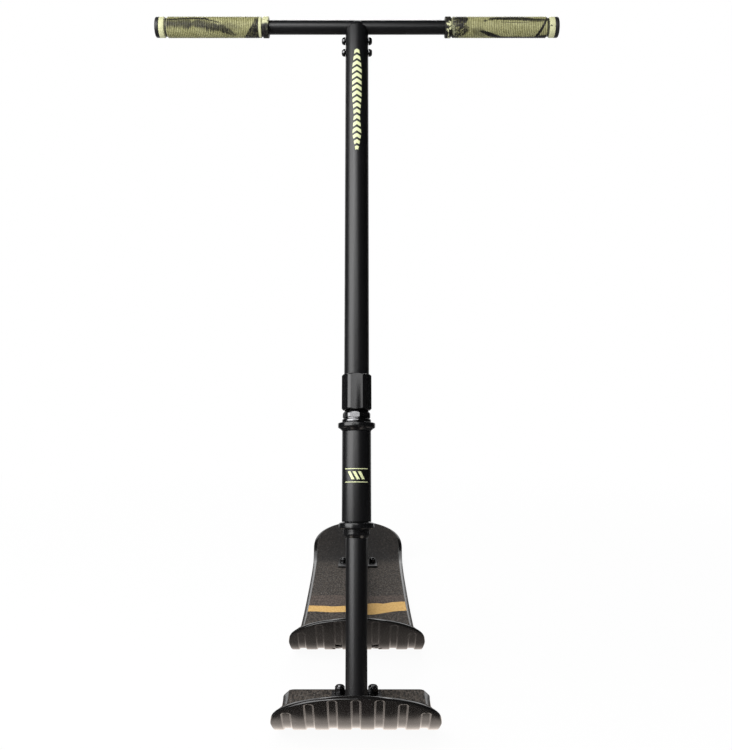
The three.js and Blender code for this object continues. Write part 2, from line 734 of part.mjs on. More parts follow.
piece("bar_downtube", downtubeBody(), blackPaint, column);
piece("crossbar", crossbarBody(), blackPaint, column);
for (const [level, height] of Object.entries(screwHeights)) {
  for (const [side, way] of Object.entries(screwSides)) {
    const screw = stemScrewBody().rotateY((way * Math.PI) / 2).translate(0, 0, height);
    piece(`crossbar_screw_${level}_${side}`, screw, blackSteel, column);
  }
}

// Grips and end plugs, drawn along Z from the middle of the bar outwards

const barEnd = crossbar.width / 2;

function gripBody() {
  const bore = crossbar.radius + seatGap;
  const start = barEnd - grip.length;
  const collarEnd = start + grip.collarLength;
  const ringStart = collarEnd + grip.innerGrooveLength;
  const bodyStart = ringStart + gripRings.innerLength;
  const outerRing = barEnd - gripRings.outerLength;
  const bodyEnd = outerRing - gripRings.outerGrooveLength;
  const across = (wall) => crossbar.radius + wall;
  return turned([
    [bore, start],
    [across(grip.collarWall), start],
    [across(grip.collarWall), collarEnd],
    [across(gripRings.grooveWall), collarEnd],
    [across(gripRings.grooveWall), ringStart],
    [across(gripRings.wall), ringStart],
    [across(gripRings.wall), bodyStart],
    [across(grip.wall), bodyStart],
    [across(grip.wall), bodyEnd],
    [across(gripRings.grooveWall), bodyEnd],
    [across(gripRings.grooveWall), outerRing],
    [across(gripRings.wall), outerRing],
    [across(gripRings.wall), barEnd],
    [bore, barEnd],
  ]);
}

function endPlugBody() {
  const { thickness, edge, stemLength } = endPlug;
  const radius = crossbar.radius + gripRings.wall;
  const plugStem = crossbar.radius - crossbar.wall - seatGap;
  const seat = barEnd + seatGap;
  const top = seat + thickness;
  const rounded = arcPoints(radius - edge, top - edge, edge, edge, 0, Math.PI / 2, edgeSteps);
  const outline = [[0, seat - stemLength], [plugStem, seat - stemLength], [plugStem, seat], [radius, seat]];
  return turned([...outline, ...rounded, [0, top]]);
}

for (const [side, way] of Object.entries(screwSides)) {
  const placeAcross = (geometry) => geometry.rotateY((way * Math.PI) / 2).translate(0, 0, crossbarHeight);
  piece(`grip_${side}`, placeAcross(gripBody()), gripRubber, column);
  piece(`bar_end_plug_${side}`, placeAcross(endPlugBody()), plugPlastic, column);
}

// Frame: the main tube comes down from the head tube, follows the board's nose and lies along the deck

const railHeight = plateTop + seatGap + mainTube.radius;
const bendRadius = nose.radius - railHeight; // concentric with the nose under it
const railEnd = boardSetback + footRun + footPlate.length / 2 - tubePlug.thickness - seatGap;
const neckHeight = headTubeBase + mainTube.neckRise;
const neck = { y: neckHeight * Math.sin(rake), z: neckHeight * Math.cos(rake) };

function tubePath() {
  // The neck is the tangent from the head tube's axis to the bend.
  const back = boardSetback - neck.y;
  const up = neck.z - nose.radius;
  const distance = Math.hypot(back, up);
  const turn = Math.atan2(up, back) + Math.asin(bendRadius / distance);
  const bend = Array.from({ length: mainTube.bendSteps + 1 }, (_, i) => {
    const slope = turn * (1 - i / mainTube.bendSteps);
    const y = boardSetback - bendRadius * Math.sin(slope);
    return { y, z: nose.radius - bendRadius * Math.cos(slope), slope };
  });
  return [{ ...neck, slope: turn }, ...bend, { y: railEnd, z: railHeight, slope: 0 }];
}

// A ring of points round the tube's path, some way on from one of its places.
function tubeRing({ y, z, slope }, radius, extra) {
  const middle = new THREE.Vector3(0, y + extra * Math.cos(slope), z - extra * Math.sin(slope));
  return Array.from({ length: tubeSides }, (_, i) => {
    const angle = (2 * Math.PI * i) / tubeSides;
    const off = radius * Math.sin(angle);
    const offset = new THREE.Vector3(radius * Math.cos(angle), off * Math.sin(slope), off * Math.cos(slope));
    return offset.add(middle);
  });
}

function tubeAlong(path, radius, lead) {
  const extras = path.map(() => 0);
  extras[0] = -lead;
  extras[extras.length - 1] = lead;
  return skin(path.map((place, i) => tubeRing(place, radius, extras[i])));
}

function mainTubeBody() {
  const path = tubePath();
  const bore = tubeAlong(path, mainTube.radius - mainTube.wall, overrun);
  const headRoom = raked(rod(headTubeRadius + seatGap, 0, headTubeTop + headTube.length));
  return cut(tubeAlong(path, mainTube.radius, 0), bore, headRoom);
}

piece("main_tube", mainTubeBody(), blackPaint, onGround);

function tubePlugBody() {
  const { thickness, edge, stemLength } = tubePlug;
  const plugStem = mainTube.radius - mainTube.wall - seatGap;
  const outline = [[0, -stemLength], [plugStem, -stemLength], [plugStem, 0], [mainTube.radius, 0]];
  outline.push([mainTube.radius, thickness - edge], [mainTube.radius - edge, thickness], [0, thickness]);
  return turned(outline).rotateX(-Math.PI / 2).translate(0, railEnd + seatGap, railHeight);
}

piece("main_tube_plug", tubePlugBody(), plugPlastic, onGround);

// The saddle plate is rolled to the nose's curve, and the foot plate is flat

function saddlePlateBody() {
  const outer = nose.radius - plateBase;
  const inner = nose.radius - plateTop;
  const middle = -Math.PI / 2 - saddlePlate.run / nose.radius;
  const half = saddlePlate.length / 2 / outer;
  const side = saddleBoltSide + saddlePlate.sideMargin;
  const shape = new THREE.Shape();
  shape.absarc(0, 0, outer, middle - half, middle + half, false);
  shape.absarc(0, 0, inner, middle + half, middle - half, true);
  const options = { depth: 2 * side, bevelEnabled: false, curveSegments: arcSteps };
  const plate = new THREE.ExtrudeGeometry(shape, options).translate(0, 0, -side);
  // The shape is drawn across Y and Z, and its depth runs along X.
  const turn = new THREE.Matrix4().set(0, 0, 1, 0, 1, 0, 0, 0, 0, 1, 0, nose.radius, 0, 0, 0, 1);
  return drilled(plate.applyMatrix4(turn), rearBoard, saddleBolts);
}

function footPlateBody() {
  const { length, sideMargin } = footPlate;
  const side = footBoltSide + sideMargin;
  const front = footRun - length / 2;
  const plate = roundedPlate(side, front, front + length, plateCorner, plateBase, plateTop);
  return drilled(plate, rearBoard, footBolts);
}

piece("saddle_plate", saddlePlateBody(), blackPaint, boardGroup);
piece("foot_plate", footPlateBody(), blackPaint, boardGroup);

// The origin goes under the middle of the scooter, between the front ski's tip and the rear board's

const frontTip = -skiFlatAhead - kickPoint(nose, kickLength(nose)).along;
const rearTip = boardSetback + rearBoard.flat + kickPoint(boardTail, kickLength(boardTail)).along;
onGround.position.y = -(frontTip + rearTip) / 2;

export default scooter;
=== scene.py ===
import math

import bmesh
import bpy
from mathutils import Matrix, Vector


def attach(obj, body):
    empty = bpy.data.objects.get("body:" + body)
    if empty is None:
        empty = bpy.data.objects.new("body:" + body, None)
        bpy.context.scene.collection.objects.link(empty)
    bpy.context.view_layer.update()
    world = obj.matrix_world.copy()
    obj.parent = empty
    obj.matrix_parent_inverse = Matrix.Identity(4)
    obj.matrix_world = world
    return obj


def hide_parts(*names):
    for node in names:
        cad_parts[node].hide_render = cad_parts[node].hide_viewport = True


# A snow scooter in metres: the front faces -Y, and the steering column leans back from the front ski.

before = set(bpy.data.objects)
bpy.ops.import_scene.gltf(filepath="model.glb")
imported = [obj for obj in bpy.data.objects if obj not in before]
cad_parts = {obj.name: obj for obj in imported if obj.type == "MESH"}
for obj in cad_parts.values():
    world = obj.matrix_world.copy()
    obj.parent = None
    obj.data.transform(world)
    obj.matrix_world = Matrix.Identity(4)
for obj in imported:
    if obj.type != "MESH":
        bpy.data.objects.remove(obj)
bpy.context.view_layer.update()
print("frame loaded")

column = {
    "lean": math.radians(11.2),
    "foot": -0.370444,  # where the steering axis meets the ground
}
columnPlace = Matrix.Translation((0, column["foot"], 0)) @ Matrix.Rotation(-column["lean"], 4, "X")


# Camera, lamps and studio

cameraFacts = {
    "place": (0.0049, -1.59204, 0.49375),
    "tilt": math.radians(92.89),
    "lens": 44.594,
    "shift": (0.0078, -0.1196),
}
bpy.ops.object.camera_add(location=cameraFacts["place"], rotation=(cameraFacts["tilt"], 0, 0))
camera = bpy.context.object
camera.name = "photoCamera"
camera.data.sensor_width = 36
camera.data.lens = cameraFacts["lens"]
camera.data.shift_x, camera.data.shift_y = cameraFacts["shift"]
camera.data.clip_start = 0.05
bpy.context.scene.camera = camera
bpy.context.scene.view_settings.view_transform = "Standard"

white = (1, 1, 1)


class Shade:
    # One output of a node tree. Sums and products on it add Math nodes.
    def __init__(self, tree, socket=None):
        self.tree = tree
        self.socket = socket

    def node(self, kind, settings=None, values=None, output=0):
        made = self.tree.nodes.new("ShaderNode" + kind)
        for name, setting in (settings or {}).items():
            setattr(made, name, setting)
        for key, value in (values or {}).items():
            if isinstance(value, Shade):
                self.tree.links.new(value.socket, made.inputs[key])
            else:
                solid = made.inputs[key].type == "RGBA"
                made.inputs[key].default_value = (*value, 1) if solid else value
        return Shade(self.tree, made.outputs[output] if made.outputs else None)

    def math(self, operation, *others):
        return self.node("Math", {"operation": operation}, dict(enumerate((self, *others))))

    def __add__(self, other):
        return self.math("ADD", other)

    def __sub__(self, other):
        return self.math("SUBTRACT", other)

    def __mul__(self, other):
        return self.math("MULTIPLY", other)

    def __truediv__(self, other):
        return self.math("DIVIDE", other)

    def __rsub__(self, other):
        return self.node("Math", {"operation": "SUBTRACT"}, {0: other, 1: self})

    __radd__ = __add__
    __rmul__ = __mul__

    def size(self):
        return self.math("ABSOLUTE")

    def most(self, other):
        return self.math("MAXIMUM", other)

    def steps(self, low, high):  # a soft edge, 0 below low and 1 above high, or the other way round
        values = {"Value": self, "From Min": low, "From Max": high}
        return self.node("MapRange", {"interpolation_type": "SMOOTHSTEP"}, values)

    def follow(self, stops):  # reads a curve given as (place, height) stops
        ramp = self.node("ValToRGB", values={"Fac": self})
        elements = ramp.socket.node.color_ramp.elements
        while len(elements) < len(stops):
            elements.new(0.5)
        for element, (place, level) in zip(elements, stops):
            element.position = place
            element.color = (level, level, level, 1)
        return ramp

    def axis(self, index):
        return self.node("SeparateXYZ", values={"Vector": self}, output=index)

    def noise(self, scale, detail=2.0, roughness=0.5, distortion=0.0):
        values = {"Vector": self, "Scale": scale, "Detail": detail}
        values.update({"Roughness": roughness, "Distortion": distortion})
        return self.node("TexNoise", values=values)

    def mapped(self, scale=(1, 1, 1), place=(0, 0, 0), turn=(0, 0, 0)):
        return self.node("Mapping", values={"Vector": self, "Location": place, "Rotation": turn, "Scale": scale})

    def streaked(self, scale, *looks):  # a noise that is stretched along the axes
        return self.mapped(scale).noise(1.0, *looks)

    def colours(self, low, high):  # low where this mask is 0, high where it is 1
        return self.node("Mix", {"data_type": "RGBA"}, {0: self, 6: low, 7: high}, output=2)

    def rays(self, first, *others):  # 1 for rays of these kinds
        found = self.node("LightPath", output=f"Is {first} Ray")
        for kind in others:
            found = found.most(self.node("LightPath", output=f"Is {kind} Ray"))
        return found

    def mixed(self, mask, first, second):
        return self.node("MixShader", values={0: mask, 1: first, 2: second})

    def emitted(self, colour, strength):
        return self.node("Emission", values={"Color": colour, "Strength": strength})

    def diffuse(self, grey):
        return self.node("BsdfDiffuse", values={"Color": (grey, grey, grey)})

    def finish(self, shader):
        self.node("OutputMaterial", values={"Surface": shader})


def newMaterial(name):
    made = bpy.data.materials.new(name)
    made.use_nodes = True
    made.node_tree.nodes.clear()
    start = Shade(made.node_tree)
    return made, start, start.node("TexCoord", output=3)


def surface(start, colour, roughness, height, depth, **fixed):
    values = {"Base Color": colour, "Roughness": roughness}
    values["Normal"] = start.node("Bump", values={"Strength": 1.0, "Distance": depth, "Height": height})
    for name, value in fixed.items():
        values[name.replace("_", " ")] = value
    start.finish(start.node("BsdfPrincipled", values=values))


def clearPick():
    active = bpy.context.view_layer.objects.active
    if active and active.mode != "OBJECT":
        bpy.ops.object.mode_set(mode="OBJECT")
    bpy.ops.object.select_all(action="DESELECT")


def pick(piece, *others):
    clearPick()
    for each in (piece, *others):
        each.select_set(True)
    bpy.context.view_layer.objects.active = piece


def added(name, kind, **settings):
    clearPick()
    getattr(bpy.ops.mesh, f"primitive_{kind}_add")(**settings)
    piece = bpy.context.object
    piece.name = name
    return piece


def openEdit(piece):
    pick(piece)
    bpy.ops.object.mode_set(mode="EDIT")
    return bmesh.from_edit_mesh(piece.data)


def closeEdit():
    bpy.ops.object.mode_set(mode="OBJECT")


def select(action="SELECT"):
    bpy.ops.mesh.select_all(action=action)


studio = {
    "floorSize": 14.0, "floorDrop": 0.0004, "floorGrey": 0.8, "cardGrey": 0.02,
    "paleToCamera": (0.95, 1.0),  # how much of the floor's look is plain white, near the scooter and far off
    "floorFade": (0.5, 2.0),
    # how bright the floor glows in reflections, by its place along Y: a glowing patch under each nose, which only
    # reflections see, paints the reflections on the noses' undersides
    "sheetFrom": -0.55, "sheetLength": 0.6, "sheetSide": 0.14, "sheetEdge": 0.03,
    "sheet": [(0.0, 0.06), (0.155, 0.06), (0.166, 1.1), (0.22, 1.5), (0.37, 1.5), (0.42, 0.08), (0.6, 0.1),
              (0.66, 0.36), (0.72, 1.0), (0.92, 1.0), (1.0, 0.08)],
    "sheetTint": (1.05, 0.93, 0.84),
    "floorInGloss": 0.07,
    # two white wedges far behind, each side of the middle, given by where they start and by their slopes
    "wedgeStart": (0.6, 0.9), "wedgeInner": (0.16, 0.24), "wedgeOuter": (1.0, 0.75),
    "cardRadius": 3.4, "cardHeight": 3.6,
    # half the angle of the low gap in the cards that stays white behind the scooter, and its height
    "cardOpening": math.radians(40), "openingHeight": 0.35,
    "world": 0.3,
}
lamps = [
    # name, place, aim, width, height, watts
    ("keyLamp", (-1.95, -1.7, 1.5), (0, -0.25, 0.75), 2.4, 2.6, 104),
    ("frontLamp", (-0.62, -2.2, 1.04), (0, -0.3, 0.38), 0.32, 0.42, 1.7),
    ("sleeveLamp", (0.1, -2.4, 1.22), (0, -0.2, 0.42), 0.7, 0.5, 4.0),
    ("overheadLamp", (-0.65, -2.1, 2.0), (0, -0.18, 0.96), 1.2, 1.2, 22),
    ("topLamp", (0.0, 1.5, 2.2), (0, 0.15, 0.0), 1.8, 0.9, 24),
]
for name, place, aim, width, height, watts in lamps:
    bpy.ops.object.light_add(type="AREA", location=place)
    lamp = bpy.context.object
    lamp.name = name
    lamp.data.shape = "RECTANGLE"
    lamp.data.size = width
    lamp.data.size_y = height
    lamp.data.energy = watts
    lamp.rotation_euler = (Vector(aim) - Vector(place)).to_track_quat("-Z", "Y").to_euler()

world = bpy.context.scene.world or bpy.data.worlds.new("studioWorld")
bpy.context.scene.world = world
world.use_nodes = True
world.node_tree.nodes.clear()
sky = Shade(world.node_tree)
dim, bright = [sky.node("Background", values={"Color": white, "Strength": level}) for level in (studio["world"], 1.0)]
sky.node("OutputWorld", values={"Surface": sky.mixed(sky.rays("Camera", "Glossy", "Transmission"), dim, bright)})

floor = added("studioFloor", "plane", size=studio["floorSize"], location=(0, 0, -studio["floorDrop"]))
paleFloor, start, place = newMaterial("paleFloor")
across, behind = place.axis(0), place.axis(1)
near, far = studio["paleToCamera"]
away = place.node("VectorMath", {"operation": "LENGTH"}, {0: place}, output=1).steps(*studio["floorFade"])
toCamera = start.rays("Camera") * (away * (far - near) + near)
seen = start.mixed(toCamera, start.diffuse(studio["floorGrey"]), start.emitted(white, 1.0))
onSheet = across.size().steps(studio["sheetSide"] + studio["sheetEdge"], studio["sheetSide"])
alongSheet = ((behind - studio["sheetFrom"]) / studio["sheetLength"]).follow(studio["sheet"])
glow = onSheet * (alongSheet - studio["floorInGloss"]) + studio["floorInGloss"]
slope = across.size() / behind.most(0.01)
wedge = behind.steps(*studio["wedgeStart"]) * slope.steps(*studio["wedgeInner"]) * slope.steps(*studio["wedgeOuter"])
mirrored = start.emitted(onSheet.colours(white, studio["sheetTint"]), glow.most(wedge))
start.finish(start.mixed(start.rays("Glossy", "Transmission"), seen, mirrored))
floor.data.materials.append(paleFloor)

# Dark cards stand round the scooter outside the picture, so that the tubes' edges stay dark
cards = added("studioCards", "cylinder", vertices=96, radius=studio["cardRadius"], depth=studio["cardHeight"],
              location=(0, 0, studio["cardHeight"] / 2), end_fill_type="NGON")
openEdit(cards)
select()
bpy.ops.mesh.bisect(plane_co=(0, 0, studio["openingHeight"]), plane_no=(0, 0, 1))
select("DESELECT")
shell = bmesh.from_edit_mesh(cards.data)
for face in shell.faces:
    middle = face.calc_center_median()
    inGap = abs(math.atan2(middle.x, middle.y)) < studio["cardOpening"] and middle.z < studio["openingHeight"]
    face.select_set(inGap or face.normal.z < -0.5)
bmesh.update_edit_mesh(cards.data)
bpy.ops.mesh.delete(type="FACE")
closeEdit()
cardMaterial, start, place = newMaterial("darkCards")
inGloss = start.mixed(start.rays("Glossy"), start.node("BsdfTransparent"), start.diffuse(studio["cardGrey"]))
start.finish(start.mixed(start.rays("Camera"), inGloss, start.emitted(white, 1.0)))
cards.data.materials.append(cardMaterial)
print("studio ready")


# Finishes

def onColumn(place):
    # The same place measured across and up the leaning column.
    lean, back = column["lean"], -column["foot"]
    return place.mapped(place=(0, back * math.cos(lean), back * math.sin(lean)), turn=(lean, 0, 0))


def roundColumn(place, radius):
    # The way round a tube of the column from the middle of its front, and the height.
    up = onColumn(place)
    return up.axis(0).math("ARCTAN2", 0.0 - up.axis(1)) * radius, up.axis(2)


def satinPaint(start, place, marks=None):
    broad = place.noise(9.0, 3.0)
    fine = place.noise(620.0, 2.0)
    peel = place.noise(1500.0, 1.0)
    specks = place.noise(2100.0, 0.0).steps(0.74, 0.8)
    colour = broad.colours((0.0028, 0.0028, 0.0033), (0.0046, 0.0045, 0.0052))
    colour = (specks * 0.25).colours(colour, (0.05, 0.05, 0.052))
    roughness = 0.31 + broad * 0.05 + fine * 0.04
    if marks is not None:
        lime = place.noise(240.0, 2.0).colours((0.52, 0.56, 0.30), (0.62, 0.65, 0.38))
        colour = marks.colours(colour, lime)
        roughness = roughness + marks * 0.08
    surface(start, colour, roughness, peel + fine * 0.7, 0.000035)


def plainFinish(name, dark, light, rough, fine, broad=None, depth=0.00002, **fixed):
    # A noise is given by its scale, its detail and how much it roughens. The broad one has the tint, if it's there.
    made, start, place = newMaterial(name)
    tint = place.noise(*broad[:2]) if broad else None
    grain = place.noise(*fine[:2])
    roughness = tint * broad[2] + rough if broad else rough
    surface(start, (tint or grain).colours(dark, light), roughness + grain * fine[2], grain, depth, **fixed)
    return made


blackPaint, start, place = newMaterial("satinBlackPaint")
satinPaint(start, place)

# The sleeve has a smoother coat than the tubes
sleeveBlack = plainFinish("sleeveBlack", (0.0036, 0.0036, 0.004), (0.0056, 0.0055, 0.0062), 0.19,
                          (900.0, 2.0, 0.03), (12.0, 3.0, 0.03), 0.00001)

# Plain slanted bars down the front of the downtube
tubeMarks = {"low": 0.772, "high": 0.937, "pitch": 0.0098, "share": 0.6, "slant": 0.62, "half": 0.0074,
             "outer": 0.01745, "edge": 0.00015,
             "widths": [(0.0, 0.25), (0.16, 0.9), (0.34, 0.62), (0.52, 0.95), (0.8, 1.0), (1.0, 0.45)]}
downtubePaint, start, place = newMaterial("downtubePaint")
around, height = roundColumn(place, tubeMarks["outer"])
run = (height - tubeMarks["low"]) / (tubeMarks["high"] - tubeMarks["low"])
halfWide = run.follow(tubeMarks["widths"]) * tubeMarks["half"]
wave = ((height + around.size() * tubeMarks["slant"]) / tubeMarks["pitch"]).math("FRACT")
bars = wave.steps(0.0, 0.05) * wave.steps(tubeMarks["share"] + 0.05, tubeMarks["share"])
bars = bars * (halfWide - around.size()).steps(-tubeMarks["edge"], tubeMarks["edge"])
bars = bars * run.steps(-0.004, 0.0) * run.steps(1.004, 1.0)
satinPaint(start, place, bars)

# A plain band of slanted bars between two lines on the head tube
bandMarks = {"middle": 0.3035, "line": 0.0088, "thin": 0.00042, "wide": 0.0172, "pitch": 0.0072, "bar": 0.0052,
             "slant": 0.55, "outer": 0.02, "edge": 0.00015}
headTubePaint, start, place = newMaterial("headTubePaint")
around, height = roundColumn(place, bandMarks["outer"])
height = height - bandMarks["middle"]
thin, bar, wide, reach = bandMarks["thin"], bandMarks["bar"], bandMarks["wide"], bandMarks["pitch"] * 1.5
lines = (height.size() - bandMarks["line"]).size().steps(thin + bandMarks["edge"], thin)
lines = lines * around.size().steps(wide + 0.0002, wide)
tilted = around + height * bandMarks["slant"]
wave = (tilted / bandMarks["pitch"] + 0.5).math("FRACT")
slashes = wave.steps(0.12, 0.17) * wave.steps(0.75, 0.7)
slashes = slashes * height.size().steps(bar + bandMarks["edge"], bar)
slashes = slashes * tilted.size().steps(reach, reach - 0.0002)
satinPaint(start, place, lines.most(slashes))

cupEnamel = plainFinish("glossBlackEnamel", (0.003, 0.003, 0.0034), (0.0055, 0.0055, 0.006), 0.17,
                        (1800.0, 2.0, 0.03), (60.0, 2.0, 0.06))
# Blued steel is dark, yet it mirrors the lamps as a metal does. Nuts and screws are blackened deeper.
blackSteel = plainFinish("bluedSteel", (0.115, 0.115, 0.118), (0.18, 0.18, 0.184), 0.14,
                         (1600.0, 2.0, 0.05), (90.0, 2.0, 0.06), Metallic=1.0)
blackNut = plainFinish("oiledBlackSteel", (0.075, 0.075, 0.077), (0.12, 0.12, 0.123), 0.13,
                       (1500.0, 2.0, 0.05), (70.0, 2.0, 0.06), Metallic=1.0)
bearingSteel = plainFinish("bearingSteel", (0.42, 0.43, 0.44), (0.56, 0.57, 0.58), 0.22,
                           (900.0, 3.0, 0.14), Metallic=1.0)
plugPlastic = plainFinish("plugPlastic", (0.010, 0.010, 0.011), (0.017, 0.017, 0.018), 0.42,
                          (700.0, 3.0, 0.1), depth=0.00004)

boardPlastic, start, place = newMaterial("glossBlackPlastic")
broad = place.noise(14.0, 3.0)
scratches = place.streaked((900.0, 26.0, 500.0), 3.0, 0.65).steps(0.66, 0.78)
mist = place.noise(330.0, 3.0)
colour = broad.colours((0.0045, 0.0042, 0.0043), (0.0082, 0.0075, 0.0072))
colour = (scratches * 0.2).colours(colour, (0.06, 0.056, 0.053))
roughness = 0.11 + broad * 0.05 + scratches * 0.12 + mist * 0.03
surface(start, colour, roughness, mist * 0.5 - scratches * 0.6, 0.00003)


def grit(start, place, bands=None):
    grains = place.node("TexVoronoi", {"feature": "F1"}, {"Vector": place, "Scale": 900.0, "Randomness": 1.0})
    clumps = place.noise(430.0, 3.0, 0.75)
    streaks = place.streaked((400.0, 125.0, 400.0), 2.0, 0.6)
    cells = place.node("TexVoronoi", {"feature": "F1"}, {"Vector": place, "Scale": 720.0}, output=2)
    grainTone = place.node("TexWhiteNoise", {"noise_dimensions": "3D"}, {"Vector": cells})
    tone = clumps.steps(0.42, 0.58) * 0.25 + streaks.steps(0.43, 0.57) * 0.6 + grainTone * 0.15
    colour = tone.colours((0.002, 0.0016, 0.0013), (0.080, 0.065, 0.053))
    # Painted glints: scattered grains are painted lighter, as sparkle
    glints = grainTone.steps(0.9, 0.96)
    colour = (glints * 0.45).colours(colour, (0.17, 0.157, 0.143))
    if bands is not None:
        colour = bands(place, colour, tone)
    height = clumps * 0.8 - grains * 0.5 + glints * 0.3
    surface(start, colour, 0.86 - glints * 0.3, height, 0.0003, Specular_IOR_Level=0.3)


gritTape, start, place = newMaterial("gritTape")
grit(start, place)

# The rear board's tape has a taupe band and an ochre one, cut by hand. The edges are in tenths of a metre.
bandEdges = {
    "width": 0.19, "tenth": 0.1, "ochreWider": 0.005, "taupeWider": 0.073, "sharp": 0.0004, "soft": 0.0007,
    "ochreFront": [(0.0, 0.39), (0.13, 0.39), (0.27, 0.34), (0.4, 0.36), (0.5, 0.24), (0.62, 0.2), (0.68, 0.24),
                   (0.75, 0.31), (0.83, 0.39), (0.93, 0.44), (1.0, 0.43)],
    "ochreBack": [(0.0, 0.7), (0.2, 0.66), (0.27, 0.63), (0.37, 0.66), (0.48, 0.7), (0.62, 0.81), (0.69, 0.83),
                  (0.74, 0.79), (0.83, 0.89), (0.92, 0.93), (1.0, 0.88)],
    "taupeBack": [(0.0, 0.62), (0.3, 0.66), (0.62, 0.6), (1.0, 0.66)],
}


def handCutBands(place, colour, clumps):
    e = bandEdges
    across = place.axis(0) / e["width"] + 0.5
    along = place.axis(1) + (place.noise(120.0, 3.0) - 0.5) * 0.0022
    front, back, end = [across.follow(e[name]) * e["tenth"] for name in ("ochreFront", "ochreBack", "taupeBack")]
    ochre = (along - front).steps(-e["sharp"], e["sharp"])
    ochre = ochre * (back + e["ochreWider"] - along).steps(-e["sharp"], e["sharp"])
    taupe = (along - back).steps(-e["sharp"], e["sharp"])
    taupe = taupe * (end + e["taupeWider"] - along).steps(-e["soft"], e["soft"])
    colour = taupe.colours(colour, clumps.colours((0.030, 0.022, 0.018), (0.120, 0.092, 0.077)))
    colour = ochre.colours(colour, clumps.colours((0.56, 0.33, 0.10), (0.70, 0.45, 0.165)))
    # The tape darkens up the tail, and more in its middle, where the extra darkening is painted shade
    middle = place.axis(0).size().steps(0.08, 0.02)
    upTail = place.axis(1).steps(0.35, 0.42) * (middle * 0.14 + 0.76)
    return upTail.colours(colour, (0.006, 0.0055, 0.0055))


bandedTape, start, place = newMaterial("bandedGritTape")
grit(start, place, handCutBands)

# Marbled rubber: pale olive with smoky swirls; the dark line and band along the foot of the front are painted shade.
# Each mark has its middle and its half width over the grip's run (0 at the outer end on the left, at the inner end on
# the right), from 0 at the foot of the front to 1 at its top. Then come its ink, how ragged and how soft it is, and
# how far the mottling breaks it up.
gripMarks = {
    -1: [
        ([(0.0, 0.70), (0.25, 0.69), (0.36, 0.70), (0.53, 0.58), (0.65, 0.43), (0.71, 0.30), (0.76, 0.16), (1.0, 0.1)],
         [(0.0, 0.15), (0.25, 0.17), (0.285, 0.08), (0.33, 0.18), (0.53, 0.20), (0.65, 0.17), (0.71, 0.11),
          (0.77, 0.0)],
         0.72, 0.45, 0.1, 0.0),
        ([(0.0, 0.72), (0.2, 0.74), (0.5, 0.52), (0.6, 0.36), (0.72, 0.16), (1.0, 0.1)],
         [(0.0, 0.05), (0.25, 0.06), (0.5, 0.09), (0.68, 0.06), (0.75, 0.0)], 0.75, 0.3, 0.05, 0.0),
        ([(0.0, 0.88), (0.29, 0.93), (0.42, 0.92), (0.53, 0.82), (0.6, 0.74), (1.0, 0.7)],
         [(0.0, 0.03), (0.4, 0.035), (0.56, 0.02), (0.6, 0.0)], 0.85, 0.1, 0.015, 0.0),
        ([(0.0, 0.7), (0.6, 0.68), (0.78, 0.52), (1.0, 0.5)],
         [(0.0, 0.0), (0.58, 0.0), (0.66, 0.14), (0.76, 0.1), (0.82, 0.0)], 0.35, 0.3, 0.12, 0.0),
        ([(0.0, 0.0), (0.84, 0.0), (0.88, 0.10), (0.93, 0.30), (0.965, 0.45), (1.0, 0.48)],
         [(0.0, 0.0), (0.84, 0.0), (0.88, 0.16), (0.93, 0.34), (0.965, 0.5), (1.0, 0.52)], 0.95, 0.3, 0.06, 0.35),
        # Painted shade: a dark line along the foot of the front
        ([(0.0, 0.0), (1.0, 0.0)], [(0.0, 0.03), (0.6, 0.025), (0.72, 0.0)], 0.7, 0.04, 0.02, 0.0),
    ],
    1: [
        ([(0.0, 0.8), (0.06, 0.82), (0.12, 0.86), (1.0, 0.86)],
         [(0.0, 0.26), (0.07, 0.24), (0.11, 0.2), (0.14, 0.0)], 0.98, 0.5, 0.07, 0.3),
        ([(0.0, 0.35), (0.1, 0.45), (1.0, 0.4)],
         [(0.0, 0.4), (0.05, 0.3), (0.1, 0.3), (0.15, 0.0)], 0.95, 0.6, 0.1, 0.7),
        # A dark swirl that runs down into a band along the foot of the front; the band is painted shade
        ([(0.0, 0.5), (0.18, 0.46), (0.31, 0.32), (0.37, 0.22), (0.43, 0.13), (0.5, 0.05), (0.6, 0.02), (1.0, 0.03)],
         [(0.0, 0.0), (0.24, 0.0), (0.31, 0.08), (0.37, 0.10), (0.43, 0.09), (0.5, 0.07), (0.6, 0.06), (0.88, 0.07),
          (0.96, 0.15), (1.0, 0.17)], 0.92, 0.12, 0.035, 0.0),
        ([(0.0, 0.5), (0.2, 0.42), (0.32, 0.28), (1.0, 0.2)],
         [(0.0, 0.0), (0.16, 0.0), (0.22, 0.16), (0.3, 0.16), (0.36, 0.0)], 0.4, 0.5, 0.1, 0.0),
        ([(0.0, 0.9), (0.32, 0.84), (0.38, 0.9), (0.6, 0.93), (1.0, 0.86)],
         [(0.0, 0.0), (0.29, 0.0), (0.32, 0.04), (0.35, 0.0), (0.38, 0.05), (0.6, 0.07), (0.8, 0.06), (1.0, 0.04)],
         0.85, 0.14, 0.03, 0.0),
        ([(0.0, 0.77), (0.7, 0.76), (1.0, 0.82)],
         [(0.0, 0.0), (0.48, 0.0), (0.5, 0.014), (0.93, 0.012), (1.0, 0.0)], 0.7, 0.1, 0.012, 0.0),
        ([(0.0, 0.0), (0.86, 0.0), (0.88, 0.06), (0.90, 0.18), (0.94, 0.48), (0.985, 0.85), (1.0, 0.95)],
         [(0.0, 0.0), (0.86, 0.0), (0.88, 0.10), (0.90, 0.13), (0.94, 0.13), (0.97, 0.1), (1.0, 0.07)],
         0.95, 0.12, 0.04, 0.0),
    ],
}
